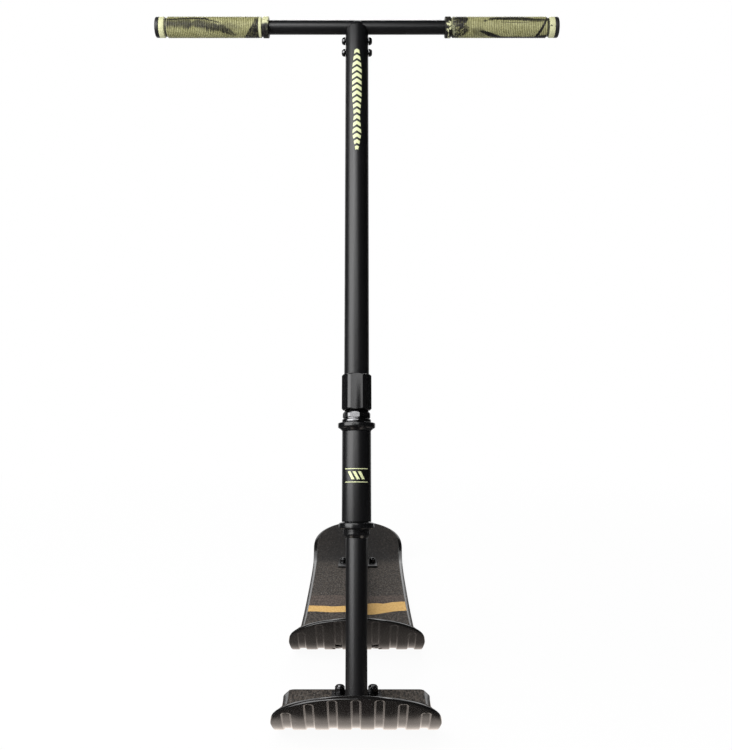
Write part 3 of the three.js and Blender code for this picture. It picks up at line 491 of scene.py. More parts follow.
gripTones = {"frontTurn": 0.588, "height": 0.9825, "start": 0.1355, "length": 0.1683,
             "ribsFrom": 0.094, "ribsShare": 0.831,  # the ribbed part, in shares of the length
             "blots": {-1: (0.68, 0.53), 1: (0.6, 0.4)},  # how rare they are, at the outer and the inner end
             "shadeAndStains": {-1: (1.0, 0.0), 1: (0.0, 0.9)}}  # painted shade on the inner collar's lower part, and a stain on the ring beside it


def marbledRubber(name, side):
    made, start, place = newMaterial(name)
    bar = onColumn(place)
    along = (bar.axis(0) * side - gripTones["start"]) / gripTones["length"]
    body = (along - gripTones["ribsFrom"]) / gripTones["ribsShare"]
    run = 1 - body if side < 0 else body
    up, ahead = bar.axis(2) - gripTones["height"], 0.0 - bar.axis(1)
    radius = (up * up + ahead * ahead).math("SQRT")
    level = (up.math("ARCTAN2", ahead) + gripTones["frontTurn"]).math("SINE") * 0.5 + 0.5
    wobble = bar.streaked((34.0, 70.0, 70.0), 3.0, 0.62, 0.6) - 0.5
    fringe = bar.streaked((560.0, 60.0, 60.0), 2.0, 0.6)
    swirl = bar.streaked((120.0, 110.0, 110.0), 4.0, 0.65, 2.2)
    loose = wobble + (fringe - 0.5) * 0.7
    mottle = bar.streaked((150.0, 190.0, 190.0), 3.0, 0.7, 1.6).steps(0.46, 0.58)
    inkAndShade = 0.0
    for middle, half, strength, ragged, soft, mottled in gripMarks[side]:
        away = (level + loose * ragged - run.follow(middle)).size()
        dark = (run.follow(half) - away).steps(-soft, soft) * strength
        dark = dark * run.follow(half).steps(0.0, 0.012)
        inkAndShade = (dark * (1 - mottle * mottled)).most(inkAndShade)
    outer, inner = along.steps(0.925, 0.93), along.steps(0.095, 0.088)
    ends = outer.most(inner)
    cloud = bar.streaked((62.0, 48.0, 48.0), 3.0, 0.6, 1.2)
    rareOuter, rareInner = gripTones["blots"][side]
    blots = outer * cloud.steps(rareOuter, rareOuter + 0.05) + inner * cloud.steps(rareInner, rareInner + 0.05)
    collar = along.steps(0.068, 0.064)
    # Painted shade darkens the lower part of the inner collar
    low = (level + loose * 0.3).steps(0.78, 0.64)
    onCollar, onRing = gripTones["shadeAndStains"][side]
    shadeAndStain = collar * low * onCollar + inner * (1 - collar) * (1 - mottle * 0.4) * onRing
    seam = along.steps(0.929, 0.933) * along.steps(0.949, 0.945) * 0.85
    inkAndShade = inkAndShade * (1 - ends) + blots.most(shadeAndStain).most(seam) * 0.95
    inkAndShade = inkAndShade * (0.3 + fringe * 0.8 + swirl * 0.9)
    pale = (wobble * 0.8 + swirl.steps(0.3, 0.7)).colours((0.2, 0.192, 0.08), (0.31, 0.302, 0.15))
    pale = ends.colours(pale, (0.48, 0.48, 0.285))
    deep = swirl.steps(0.3, 0.75).colours((0.003, 0.0028, 0.0028), (0.022, 0.02, 0.018))
    colour = inkAndShade.math("MINIMUM", 1.0).colours(pale, deep)
    # Painted shade lies between the ribs and in the deep grooves
    ribShade = radius.steps(0.01605, 0.0156) * (1 - ends)
    colour = (ribShade * 0.5 + radius.steps(0.0149, 0.0145) * 0.4).colours(colour, (0.02, 0.019, 0.012))
    fine = place.noise(1400.0, 2.0)
    surface(start, colour, 0.42 + fine * 0.14, fine, 0.00004, Specular_IOR_Level=0.3)
    return made


leftRubber = marbledRubber("marbledRubberLeft", -1)
rightRubber = marbledRubber("marbledRubberRight", 1)
print("finishes ready")


# Ways of making

def merged(nearest=0.000002):
    select()
    bpy.ops.mesh.remove_doubles(threshold=nearest)


def finished(piece):
    # Turns the faces of a piece that is open for editing outwards, and closes it.
    select()
    bpy.ops.mesh.normals_make_consistent(inside=False)
    closeEdit()
    return piece


def applied(piece):
    bpy.ops.object.transform_apply(location=True, rotation=True, scale=True)
    return piece


def settle(piece, matrix):
    pick(piece)
    piece.matrix_world = matrix @ piece.matrix_world
    return applied(piece)


def copied(piece, name):
    pick(piece)
    bpy.ops.object.duplicate(linked=False)
    made = bpy.context.object
    made.name = name
    return made


def joined(piece, *others):
    pick(piece, *others)
    bpy.ops.object.join()
    return piece


def modified(piece, kind, **settings):
    pick(piece)
    bpy.ops.object.modifier_add(type=kind)
    modifier = piece.modifiers[-1]
    for name, value in settings.items():
        setattr(modifier, name, value)
    bpy.ops.object.modifier_apply(modifier=modifier.name)


def boolean(piece, tool, operation="DIFFERENCE"):
    modified(piece, "BOOLEAN", operation=operation, solver="EXACT", object=tool)
    bpy.data.objects.remove(tool)


def softened(piece, width, segments=2, angle=35):
    modified(piece, "BEVEL", width=width, segments=segments, limit_method="ANGLE", angle_limit=math.radians(angle),
             harden_normals=False)


def rounded(corners, steps=4):
    # Corners are (across, up, fillet). Gives the outline with its corners rounded, as (across, up).
    points = []
    count = len(corners)
    for i, (x, y, fillet) in enumerate(corners):
        here = Vector((x, y))
        if fillet <= 0:
            points.append((x, y))
            continue
        before = Vector(corners[i - 1][:2]) - here
        after = Vector(corners[(i + 1) % count][:2]) - here
        reach = min(fillet, before.length * 0.48, after.length * 0.48)
        start, end = before.normalized() * reach, after.normalized() * reach
        for k in range(steps + 1):
            t = k / steps
            point = here + start * (1 - t) ** 2 + end * t ** 2
            points.append((point.x, point.y))
    return points


def turned(name, outline, steps=96):
    # Extrudes a point along the outline of (radius, height) and spins it round the upright axis. An outline that
    # doesn't start on the axis is closed into a ring.
    piece = added(name, "plane", size=0.001)
    openEdit(piece)
    select()
    bpy.ops.mesh.merge(type="CENTER")
    bpy.ops.transform.translate(value=(outline[0][0], 0, outline[0][1]))
    last = outline[0]
    for point in outline[1:] + (outline[:1] if outline[0][0] > 0 else []):
        step = (point[0] - last[0], 0, point[1] - last[1])
        bpy.ops.mesh.extrude_region_move(TRANSFORM_OT_translate={"value": step})
        last = point
    merged()
    select()
    bpy.ops.mesh.spin(steps=steps, angle=math.tau, center=(0, 0, 0), axis=(0, 0, 1))
    merged()
    return finished(piece)


def rod(name, radius, low, high, steps=96):
    return turned(name, [(0, low), (radius, low), (radius, high), (0, high)], steps)


def hexBar(name, side, low, high, turn=0.0):
    # Six flats at this distance from the axis, one of them facing the front.
    return applied(added(name, "cylinder", vertices=6, radius=side / math.cos(math.pi / 6), depth=high - low,
                         location=(0, 0, (low + high) / 2), rotation=(0, 0, math.pi / 6 + turn)))


def dress(piece, name, node, body, material, smooth=32):
    pick(piece)
    piece.name = name
    piece.data.name = name
    bpy.ops.object.shade_smooth_by_angle(angle=math.radians(smooth))
    piece.data.materials.clear()
    piece.data.materials.append(material)
    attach(piece, body)
    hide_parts(node)


# These turn an upright piece to point to +X, to -X and to +Y
alongRight = Matrix.Rotation(math.pi / 2, 4, "Y")
alongLeft = Matrix.Rotation(-math.pi / 2, 4, "Y")
backward = Matrix.Rotation(-math.pi / 2, 4, "X")


# Boards: the underside's centre line is a flat, an arc and a straight at each upturned end

nose = {"radius": 0.1065, "angle": math.radians(43.3), "straight": 0.070, "width": 0.204,
        "rounding": 0.072, "power": 2.2, "tipShare": 0.03}
boardTail = {"radius": 0.118, "angle": math.radians(45), "straight": 0.047, "width": 0.192,
             "rounding": 0.067, "power": 2.5, "tipShare": 0.03}
squareTail = {"radius": 0.0, "angle": 0.0, "straight": 0.0, "width": 0.197,
              "rounding": 0.008, "power": 2.2, "tipShare": 0.95}
frontSki = {"nose": nose, "tail": squareTail, "flat": 0.081, "waist": 0.1955, "start": -0.389444}
rearBoard = {"nose": nose, "tail": boardTail, "flat": 0.497, "waist": 0.1855, "start": -0.100244}
boardSection = {"thickness": 0.011, "tipThickness": 0.004, "bevel": 0.0065, "mostBevel": 0.5, "sideShare": 0.45,
                "fillets": (0.0009, 0.0011, 0.0016)}  # at the foot of the side, halfway up it and at its top
grooves = {"pitch": 0.0275, "half": 0.00635, "floorHalf": 0.004, "depth": 0.002, "margin": 0.004, "eachSide": 3,
           "points": [0.00635, 0.006, 0.0055, 0.005, 0.0045, 0.0041, 0.0025, 0.0], "search": 0.00025}
tapeFacts = {"thickness": 0.0008, "gap": 0.0003, "inset": 0.001, "tipMargin": 0.014, "tailMargin": 0.005,
             "edge": 0.0003, "bulge": 0.0001, "parts": 6}
rowGaps = {"rim": 0.004, "rimRows": 8, "leastZone": 0.016, "close": 0.0012, "kick": 0.0035, "flat": 0.011,
           "least": 0.0001}


def kickLength(end):
    return end["radius"] * end["angle"] + end["straight"]


def boardEnds(board):
    return -kickLength(board["nose"]), board["flat"] + kickLength(board["tail"])


def kickPoint(end, run):
    arc = min(run, end["radius"] * end["angle"])
    slope = arc / end["radius"] if end["radius"] else 0.0
    rest = run - arc
    along = end["radius"] * math.sin(slope) + rest * math.cos(slope)
    up = end["radius"] * (1 - math.cos(slope)) + rest * math.sin(slope)
    return along, up, slope


def spine(board, run):
    if run < 0:
        along, up, slope = kickPoint(board["nose"], -run)
        return board["start"] - along, up, -slope
    if run > board["flat"]:
        along, up, slope = kickPoint(board["tail"], run - board["flat"])
        return board["start"] + board["flat"] + along, up, slope
    return board["start"] + run, 0.0, 0.0


def onBoard(board, run, x, height):
    y, z, slope = spine(board, run)
    return Vector((x, y - height * math.sin(slope), z + height * math.cos(slope)))


def clamp(value):
    return max(0.0, min(1.0, value))


def halfWidth(board, run):
    waistAt = board["flat"] / 2
    end = board["nose"] if run < waistAt else board["tail"]
    out = abs(run - waistAt)
    reach = waistAt + kickLength(end) - end["rounding"]
    flare = min(out / reach, 1) ** 3
    side = (board["waist"] + (end["width"] - board["waist"]) * flare) / 2
    tip = end["width"] * end["tipShare"] / 2
    past = clamp((out - reach) / end["rounding"])
    return tip + (side - tip) * math.sqrt(max(0.0, 1 - past ** end["power"]))


def thicknessAt(board, run):
    end = board["nose"] if run < 0 else board["tail"]
    past = (-run if run < 0 else run - board["flat"]) - end["radius"] * end["angle"]
    full, thin = boardSection["thickness"], boardSection["tipThickness"]
    return full if past <= 0 else full - (full - thin) * past / end["straight"]


def stations(board, first, last):
    # Close rows at the rounded ends, where the grooves stop, and wide ones between.
    g = rowGaps
    runs = [first, last]
    for way, start, end in ((-1, 0.0, board["nose"]), (1, board["flat"], board["tail"])):
        length = kickLength(end)
        zone = max(end["rounding"], g["leastZone"])
        for k in range(g["rimRows"] + 1):
            runs.append(start + way * (length - g["rim"] * (1 - math.sin(k / g["rimRows"] * math.pi / 2))))
        rows = round(zone / g["close"])
        runs += [start + way * (length - zone * k / rows) for k in range(1, rows + 1)]
        rest = length - zone
        rows = max(1, round(rest / g["kick"])) if rest > 0 else 0
        runs += [start + way * rest * k / rows for k in range(rows)]
    rows = round(board["flat"] / g["flat"])
    runs += [board["flat"] * k / rows for k in range(rows + 1)]
    kept = []
    for run in sorted(runs):
        if first - 1e-9 <= run <= last + 1e-9 and (not kept or run - kept[-1] > g["least"]):
            kept.append(run)
    kept[-1] = last
    return kept


def grooveReach(board):
    # Where each groove starts and stops, a margin inside the board's outline.
    reach = {}
    front, back = boardEnds(board)
    for i in range(-grooves["eachSide"], grooves["eachSide"] + 1):
        side = abs(i) * grooves["pitch"] + grooves["half"] + grooves["margin"]
        first = front + grooves["margin"]
        while halfWidth(board, first) < side and first < 0.1:
            first += grooves["search"]
        final = back - grooves["margin"]
        while halfWidth(board, final) < side and final > 0:
            final -= grooves["search"]
        reach[i] = (first, final)
    return reach


def grooveHeight(reach, i, run, away):
    first, final = reach[i]
    half = grooves["half"]
    past = max(0.0, first + half - run, run - final + half)
    radius = math.hypot(away, past)
    rise = clamp((half - radius) / (half - grooves["floorHalf"]))
    return grooves["depth"] * rise * rise * (3 - 2 * rise)


def boardRing(board, reach, run):
    half = halfWidth(board, run)
    thickness = thicknessAt(board, run)
    inner = half - min(boardSection["bevel"], half * boardSection["mostBevel"])
    side = thickness * boardSection["sideShare"]
    ring = []
    points = grooves["points"]
    for i in range(-grooves["eachSide"], grooves["eachSide"] + 1):
        middle = i * grooves["pitch"]
        for away in [-p for p in points] + points[-2::-1]:
            x = max(-inner, min(inner, middle + away))
            ring.append((x, grooveHeight(reach, i, run, abs(x - middle))))
        if i < grooves["eachSide"]:
            ring.append((max(-inner, min(inner, middle + grooves["pitch"] / 2)), 0.0))
    low, mid, top = boardSection["fillets"]
    rightSide = [(inner, 0.0, 0), (half, 0.0, low), (half, side, mid), (inner, thickness, top)]
    ring += rounded(rightSide + [(-x, height, fillet) for x, height, fillet in reversed(rightSide)], 3)
    return [onBoard(board, run, x, height) for x, height in ring]


def skinned(name, rings):
    # A grid laid over the rings, its seam merged and its two ends filled.
    rows, columns = len(rings), len(rings[0])
    piece = added(name, "grid", x_subdivisions=columns, y_subdivisions=rows - 1, size=2)
    for vertex in piece.data.vertices:
        place = round((vertex.co.x + 1) / 2 * columns) % columns
        row = round((vertex.co.y + 1) / 2 * (rows - 1))
        vertex.co = rings[row][place]
    openEdit(piece)
    merged(0.000001)
    for end in (rings[0], rings[-1]):
        select("DESELECT")
        shell = bmesh.from_edit_mesh(piece.data)
        middle = sum(end, Vector()) / columns
        farthest = max((point - middle).length for point in end) + 0.0005
        for edge in shell.edges:
            if len(edge.link_faces) == 1 and all((v.co - middle).length <= farthest for v in edge.verts):
                edge.select_set(True)
        bmesh.update_edit_mesh(piece.data)
        bpy.ops.mesh.edge_face_add()
    return finished(piece)


def boardShape(name, board):
    reach = grooveReach(board)
    return skinned(name, [boardRing(board, reach, run) for run in stations(board, *boardEnds(board))])


def tapeShape(name, board):
    t = tapeFacts
    first, last = boardEnds(board)
    rings = []
    for run in stations(board, t["tipMargin"] + first, last - t["tailMargin"]):
        half = halfWidth(board, run) - boardSection["bevel"] - t["inset"]
        low = thicknessAt(board, run) + t["gap"]
        high = low + t["thickness"]
        side, top = (low + high) / 2 + t["bulge"], half - t["edge"]
        across = [half * k / t["parts"] for k in range(1 - t["parts"], t["parts"])]
        ring = [(-half, low), (half, low), (half, side), (top, high)]
        ring += [(x, high) for x in reversed(across)] + [(-top, high), (-half, side)]
        rings.append([onBoard(board, run, x, height) for x, height in ring])
    return skinned(name, rings)


# Fastenings: heights are over the board's underside

plate = {"low": 0.0124, "high": 0.0159, "corner": 0.008}
boltFacts = {"radius": 0.004, "head": 0.008, "inset": 0.0008, "headHeight": 0.004, "top": 0.0267, "threaded": 0.0075,
             "socket": 0.0025, "socketDepth": 0.0025, "gap": 0.0005, "pitch": 0.00125, "thread": 0.0005}
nutFacts = {"low": 0.0179, "side": 0.0065, "hexHeight": 0.0064, "top": 0.0259, "collar": 0.0054, "bore": 0.0043}
washerFacts = {"low": 0.0162, "high": 0.0176, "outer": 0.0076, "inner": 0.0043}


def fourSpots(side, front, rear):
    spots = {}
    for end, run in (("front", front), ("rear", rear)):
        spots[end + "_left"], spots[end + "_right"] = (-side, run), (side, run)
    return spots


skiBolts, frameBolts = fourSpots(0.022, 0.010, 0.055), fourSpots(0.030, -0.054, 0.465)


def boltPlace(board, x, run):
    y, z, slope = spine(board, run)
    return Matrix.Translation((x, y, z)) @ Matrix.Rotation(slope, 4, "X")


def drill(piece, board, places):
    b = boltFacts
    wide, head, coneTop = b["radius"] + b["gap"], b["head"] + b["gap"], b["inset"] + b["headHeight"] + b["gap"]
    first = turned("boltHole", [(0, -0.002), (head, -0.002), (head, b["inset"]), (wide, coneTop), (wide, 0.03),
                                (0, 0.03)], 48)
    tools = [copied(first, "drill") for _ in places]
    bpy.data.objects.remove(first)
    for tool, (x, run) in zip(tools, places.values()):
        settle(tool, boltPlace(board, x, run))
    boolean(piece, joined(tools[0], *tools[1:]))


boards = [
    ("front_ski", frontSki, skiBolts, "steering", gritTape),
    ("rear_board", rearBoard, frameBolts, "frame", bandedTape),
]
for name, board, bolts, body, tapeMaterial in boards:
    piece = boardShape(name, board)
    drill(piece, board, bolts)
    dress(piece, "ribbed_" + name, name, body, boardPlastic, 28)
    piece = tapeShape(name + "_tape", board)
    drill(piece, board, bolts)
    dress(piece, "grit_" + name, name + "_grip_tape", body, tapeMaterial, 28)
print("boards ready")


def boltShape():
    b = boltFacts
    radius, inset, top, pitch = b["radius"], b["inset"], b["top"], b["pitch"]
    thread = top - b["threaded"]
    outline = [(0, inset, 0), (b["head"], inset, 0.0003), (radius, inset + b["headHeight"], 0.0004),
               (radius, thread, 0)]
    while thread + pitch < top - 0.0008:
        outline += [(radius - b["thread"], thread + pitch * 0.45, 0.0001), (radius, thread + pitch * 0.9, 0)]
        thread += pitch
    outline += [(radius - 0.0008, top, 0.0002), (0, top, 0)]
    piece = turned("bolt", rounded(outline, 2), 48)
    boolean(piece, hexBar("socket", b["socket"], -0.001, inset + b["socketDepth"]))
    return piece


def nutShape():
    n = nutFacts
    low, side, collar, bore, top = n["low"], n["side"], n["collar"], n["bore"], n["top"]
    corner = side / math.cos(math.pi / 6)
    hexTop = low + n["hexHeight"]
    piece = hexBar("nut", side, low, hexTop, math.pi / 6)
    # With this many steps the cone's facets lie square to the nut's corners
    cone = [(0, low - 0.001), (corner - 0.0008, low - 0.0002), (corner + 0.0001, low + 0.0006),
            (corner + 0.0001, hexTop - 0.0009), (side - 0.0002, hexTop + 0.00004), (0, hexTop + 0.00004)]
    boolean(piece, turned("cone", cone, 66), "INTERSECT")
    softened(piece, 0.00018, 2, 25)
    ring = [(bore, low + 0.001, 0), (collar + 0.0004, hexTop - 0.0002, 0.0002), (collar, hexTop + 0.0004, 0.0003),
            (collar, top, 0.0009), (bore + 0.0004, top - 0.0001, 0.0003), (bore, top - 0.0006, 0)]
    collarRing = turned("collar", rounded(ring, 3), 48)
    boolean(piece, rod("bore", bore, 0.0, 0.04, 48))
    return joined(piece, collarRing)


def washerShape():
    w = washerFacts
    return turned("washer", rounded([(w["inner"], w["low"], 0.0002), (w["outer"], w["low"], 0.0003),
                                     (w["outer"], w["high"], 0.0005), (w["inner"], w["high"], 0.0003)], 3), 60)


fastenings = {"bolt": boltShape(), "washer": washerShape(), "nut": nutShape()}
for prefix, (_, board, bolts, body, _) in zip(("ski", "frame"), boards):
    for spot, (x, run) in bolts.items():
        for kind, model in fastenings.items():
            piece = settle(copied(model, kind), boltPlace(board, x, run))
            node = f"{prefix}_{kind}_{spot}"
            dress(piece, "black_" + node, node, body, blackNut)
for model in fastenings.values():
    bpy.data.objects.remove(model)
print("fastenings ready")


# Fork: a leaning steerer welded to a level base plate

def roundedPlate(name, side, front, back):
    low, high = plate["low"], plate["high"]
    piece = applied(added(name, "cube", size=1, location=(0, (front + back) / 2, (low + high) / 2),
                          scale=(side * 2, back - front, high - low)))
    block = openEdit(piece)
    select("DESELECT")
    for edge in block.edges:
        edge.select_set(abs(edge.verts[0].co.z - edge.verts[1].co.z) > 0.001)
    bmesh.update_edit_mesh(piece.data)
    bpy.ops.mesh.bevel(offset=plate["corner"], segments=8, affect="EDGES")
    closeEdit()
    softened(piece, 0.0006, 3, 50)
    return piece


def bead(name, path, size, ripple, beads):
    # A closed weld bead: path gives a point and the two directions that its round section spans.
    count, thin = len(path), 0.25
    piece = added(name, "torus", major_segments=count, minor_segments=12, major_radius=1, minor_radius=thin)
    for vertex in piece.data.vertices:
        angle = math.atan2(vertex.co.y, vertex.co.x) % math.tau
        row = round(angle / math.tau * count) % count
        point, out, up = path[row]
        across = math.hypot(vertex.co.x, vertex.co.y) - 1
        phase = row / count * beads % 1
        grow = size * (1 - ripple * (2 * phase - 1) ** 2)
        vertex.co = point + out * (across / thin * grow) + up * (vertex.co.z / thin * grow)
    openEdit(piece)
    return finished(piece)


forkFacts = {"radius": 0.0143, "wall": 0.003, "top": 0.5025, "boreFoot": 0.4, "foot": 0.012,
             "side": 0.033, "ahead": 0.019, "behind": 0.046, "weld": 0.0022, "weldLift": 0.0006, "weldOut": 0.0004,
             "weldParts": 160, "ripple": 0.16, "beads": 34, "cutter": 0.2}
forkPlate = roundedPlate("forkPlate", forkFacts["side"], column["foot"] - forkFacts["ahead"],
                         column["foot"] + forkFacts["behind"])
radius, low, top, boreFoot = forkFacts["radius"], forkFacts["foot"], forkFacts["top"], forkFacts["boreFoot"]
bore = radius - forkFacts["wall"]
forkTube = turned("forkTube", rounded([(0, low, 0), (radius, low, 0), (radius, top, 0.0008), (bore, top, 0.0008),
                                       (bore, boreFoot, 0), (0, boreFoot, 0)], 3))
settle(forkTube, columnPlace)
# The tube's foot is cut off level, inside the plate
cutter, middle = forkFacts["cutter"], (plate["low"] + plate["high"]) / 2
boolean(forkTube, added("cutter", "cube", size=cutter, location=(0, column["foot"], middle - cutter / 2)))
weldPath = []
up = plate["high"] + forkFacts["weldLift"]
for k in range(forkFacts["weldParts"]):
    angle = k / forkFacts["weldParts"] * math.tau
    out = Vector((math.cos(angle), math.sin(angle), 0))
    y = radius * math.sin(angle) / math.cos(column["lean"]) + up * math.tan(column["lean"]) + column["foot"]
    point = Vector((radius * math.cos(angle), y, up)) + out * forkFacts["weldOut"]
    weldPath.append((point, out, Vector((0, 0, 1))))
forkWeld = bead("forkWeld", weldPath, forkFacts["weld"], forkFacts["ripple"], forkFacts["beads"])
dress(joined(forkPlate, forkTube, forkWeld), "welded_fork", "fork", "steering", blackPaint)


# Headset: each ring's outline, with heights up the column, then its body, finish and slot

headset = {
    "crown_race": ([
        (0.0146, 0.2217, 0), (0.0180, 0.2257, 0.0012), (0.0180, 0.2335, 0.0008), (0.02015, 0.2337, 0.0002),
        (0.02015, 0.2358, 0.0003), (0.0146, 0.2358, 0)], "steering", cupEnamel, "black_steel"),
    "lower_cup": ([
        (0.02085, 0.2340, 0.0004), (0.02385, 0.2340, 0.0012), (0.02385, 0.2413, 0.0016), (0.0200, 0.24215, 0.0004),
        (0.0167, 0.2423, 0), (0.0167, 0.2543, 0.0004), (0.0150, 0.2543, 0.0004), (0.0150, 0.2398, 0),
        (0.02085, 0.2398, 0)], "frame", cupEnamel, "black_steel"),
    "upper_cup": ([
        (0.02285, 0.3750, 0.0004), (0.02585, 0.3750, 0.0014), (0.02585, 0.3688, 0.0016), (0.0230, 0.3674, 0.0008),
        (0.0202, 0.3646, 0.0006), (0.0200, 0.3639, 0), (0.0167, 0.3639, 0), (0.0167, 0.3519, 0.0004),
        (0.0150, 0.3519, 0.0004), (0.0150, 0.3692, 0), (0.02285, 0.3692, 0)], "frame", cupEnamel, "black_steel"),
    "upper_race": ([
        (0.0146, 0.3732, 0), (0.02215, 0.3732, 0.0002), (0.02215, 0.3747, 0.0002), (0.0192, 0.3754, 0.0004),
        (0.0202, 0.3766, 0.0012), (0.0202, 0.3802, 0.0014), (0.0146, 0.3802, 0.0003)],
        "steering", blackSteel, "black_steel"),
    "lock_washer": ([
        (0.0146, 0.3805, 0.0002), (0.0184, 0.3805, 0.0003), (0.0184, 0.3819, 0.0003), (0.0146, 0.3819, 0.0002)],
        "steering", blackSteel, "black_steel"),
    "head_tube": ([
        (0.0170, 0.2426, 0.0003), (0.0200, 0.2426, 0.0009), (0.0200, 0.3636, 0.0009), (0.0170, 0.3636, 0.0003)],
        "frame", headTubePaint, "black_paint"),
}
for node, (corners, body, material, slot) in headset.items():
    piece = settle(turned(node, rounded(corners, 4), 120), columnPlace)
    dress(piece, "turned_" + node, node, body, material)

locknut = {"side": 0.0180, "corner": 0.01918, "low": 0.3822, "high": 0.3929, "chamfer": 0.0050, "topRadius": 0.01555,
           "bore": 0.0146, "turn": math.radians(-8)}
low, high, corner, topRadius = locknut["low"], locknut["high"], locknut["corner"], locknut["topRadius"]
piece = hexBar("locknut", locknut["side"], low, high, locknut["turn"])
cone = [(0, low - 0.001), (corner - 0.0006, low - 0.0001), (corner, low + 0.0006), (corner, high - locknut["chamfer"]),
        (topRadius, high + 0.0001), (0, high + 0.0001)]
boolean(piece, turned("cone", cone, 120), "INTERSECT")
boolean(piece, rod("bore", locknut["bore"], 0.3, 0.5))
softened(piece, 0.0003, 2, 24)
settle(piece, columnPlace)
dress(piece, "hex_locknut", "headset_locknut", "steering", blackSteel, 12)
print("headset ready")


# Sleeve, downtube and crossbar

sleeve = {"side": 0.0190, "corner": 0.02074, "low": 0.3932, "high": 0.4422, "chamfer": 0.0016, "bore": 0.0146,
          "screws": {"upper": 2 / 3, "lower": 1 / 3}, "hole": (0.0043, 0.010, 0.024),
          "socket": (0.0020, 0.0161, 0.0200)}
low, high, corner, chamfer = sleeve["low"], sleeve["high"], sleeve["corner"], sleeve["chamfer"]
piece = hexBar("sleeve", sleeve["side"], low, high)
barrel = [(0, low), (corner - chamfer, low), (corner, low + chamfer), (corner, high - chamfer),
          (corner - chamfer, high), (0, high)]
boolean(piece, turned("barrel", barrel, 120), "INTERSECT")
boolean(piece, rod("bore", sleeve["bore"], 0.3, 0.5))
screwOutline = [(0, 0.0147, 0), (0.0032, 0.0147, 0.0002), (0.0040, 0.0155, 0.0002), (0.0040, 0.0187, 0.0005),
                (0, 0.0187, 0)]
screwModel = turned("setScrew", rounded(screwOutline, 3), 40)
boolean(screwModel, hexBar("socket", *sleeve["socket"]))
for level, share in sleeve["screws"].items():
    place = Matrix.Translation((0, 0, low + (high - low) * share)) @ backward
    boolean(piece, settle(rod("hole", *sleeve["hole"], 48), place))
    screw = settle(copied(screwModel, "set_screw"), columnPlace @ place)
    dress(screw, "socket_set_screw_" + level, "set_screw_" + level, "steering", blackSteel)
bpy.data.objects.remove(screwModel)
softened(piece, 0.00035, 2, 30)
settle(piece, columnPlace)
dress(piece, "pinch_hex_sleeve", "hex_sleeve", "steering", sleeveBlack, 12)

bar = {"height": 0.9825, "radius": 0.0111, "wall": 0.002, "half": 0.3038}
barPlace = Matrix.Translation((0, 0, bar["height"]))
tube = {"low": 0.4425, "rim": 0.9789, "bore": 0.01495, "outer": 0.01745, "swage": 0.80, "notch": (0.0114, -0.03, 0.03)}
bore, outer, low, rim = tube["bore"], tube["outer"], tube["low"], tube["rim"]
piece = turned("downtube", rounded([(bore, low, 0.0003), (outer, low, 0.0006), (outer, tube["swage"], 0),
                                    (outer, rim, 0.0005), (bore, rim, 0.0005)], 3), 128)
boolean(piece, settle(rod("notch", *tube["notch"]), barPlace @ alongRight))
settle(piece, columnPlace)
dress(piece, "painted_downtube", "bar_downtube", "steering", downtubePaint)

stem = {"radius": 0.01465, "foot": 0.9025, "rise": 0.0136, "chamfer": 0.0006, "domeRows": 14}
radius, half, bore = bar["radius"], bar["half"], bar["radius"] - bar["wall"]
barTube = turned("barTube", rounded([(radius, -half, 0.0004), (radius, half, 0.0004), (bore, half, 0.0003),
                                     (bore, -half, 0.0003)], 3))
settle(barTube, barPlace @ alongRight)
radius, low, chamfer = stem["radius"], stem["foot"], stem["chamfer"]
outline = [(0, low), (radius - chamfer, low), (radius, low + chamfer)]
for k in range(stem["domeRows"]):
    angle = math.pi / 2 * k / stem["domeRows"]
    outline.append((radius * math.cos(angle), rim + stem["rise"] * math.sin(angle)))
boolean(barTube, turned("stemPost", outline + [(0, rim + stem["rise"])]), "UNION")
settle(barTube, columnPlace)
dress(barTube, "tee_crossbar", "crossbar", "steering", blackPaint)

# Button heads: the dome is boxier than a sphere
screwFacts = {"seat": 0.01775, "tip": 0.0038, "radius": 0.0030, "chamfer": 0.0004, "head": 0.0061, "rise": 0.0056,
              "socket": 0.0020, "depth": 0.0022, "upper": 0.0237, "lower": 0.0432, "domeRows": 10}
s = screwFacts
seat, tip, radius, chamfer, top = s["seat"], s["tip"], s["radius"], s["chamfer"], s["seat"] + s["rise"]
outline = [(0, tip), (radius - chamfer, tip), (radius, tip + chamfer), (radius, seat), (s["head"] - 0.0002, seat)]
for k in range(s["domeRows"]):
    angle = math.radians(12) + math.radians(78) * k / s["domeRows"]
    outline.append((s["head"] * math.cos(angle) ** 0.6, seat + s["rise"] * math.sin(angle) ** 0.75))
screwModel = turned("stemScrew", outline + [(0, top)], 60)
boolean(screwModel, hexBar("socket", s["socket"], top - s["depth"], 0.03))
softened(screwModel, 0.0002, 2, 40)
for level in ("upper", "lower"):
    for side, way in (("left", alongLeft), ("right", alongRight)):
        place = columnPlace @ Matrix.Translation((0, 0, bar["height"] - s[level])) @ way
        screw = settle(copied(screwModel, "stemScrew"), place)
        node = f"crossbar_screw_{level}_{side}"
        dress(screw, "button_" + node, node, "steering", blackNut)
bpy.data.objects.remove(screwModel)
print("handlebar ready")


# Grips and end plugs, drawn upright from the middle of the bar outwards

gripFacts = {"start": 0.1355, "end": 0.3038, "bore": 0.0114, "collar": 0.01645, "ring": 0.0159, "groove": 0.0142,
             "ribs": 0.0162, "ribPitch": 0.0027, "ribDepth": 0.0006,
             "rib": ((0.06, 0.0), (0.26, 0.8), (0.42, 1.0), (0.64, 1.0), (0.8, 0.8), (0.97, 0.0))}
plugFacts = {"gap": 0.0003, "length": 0.02, "stem": 0.0088, "head": 0.0159, "rise": 0.0061, "floor": 0.0055,
             "lip": 0.0100, "dish": 0.0094}


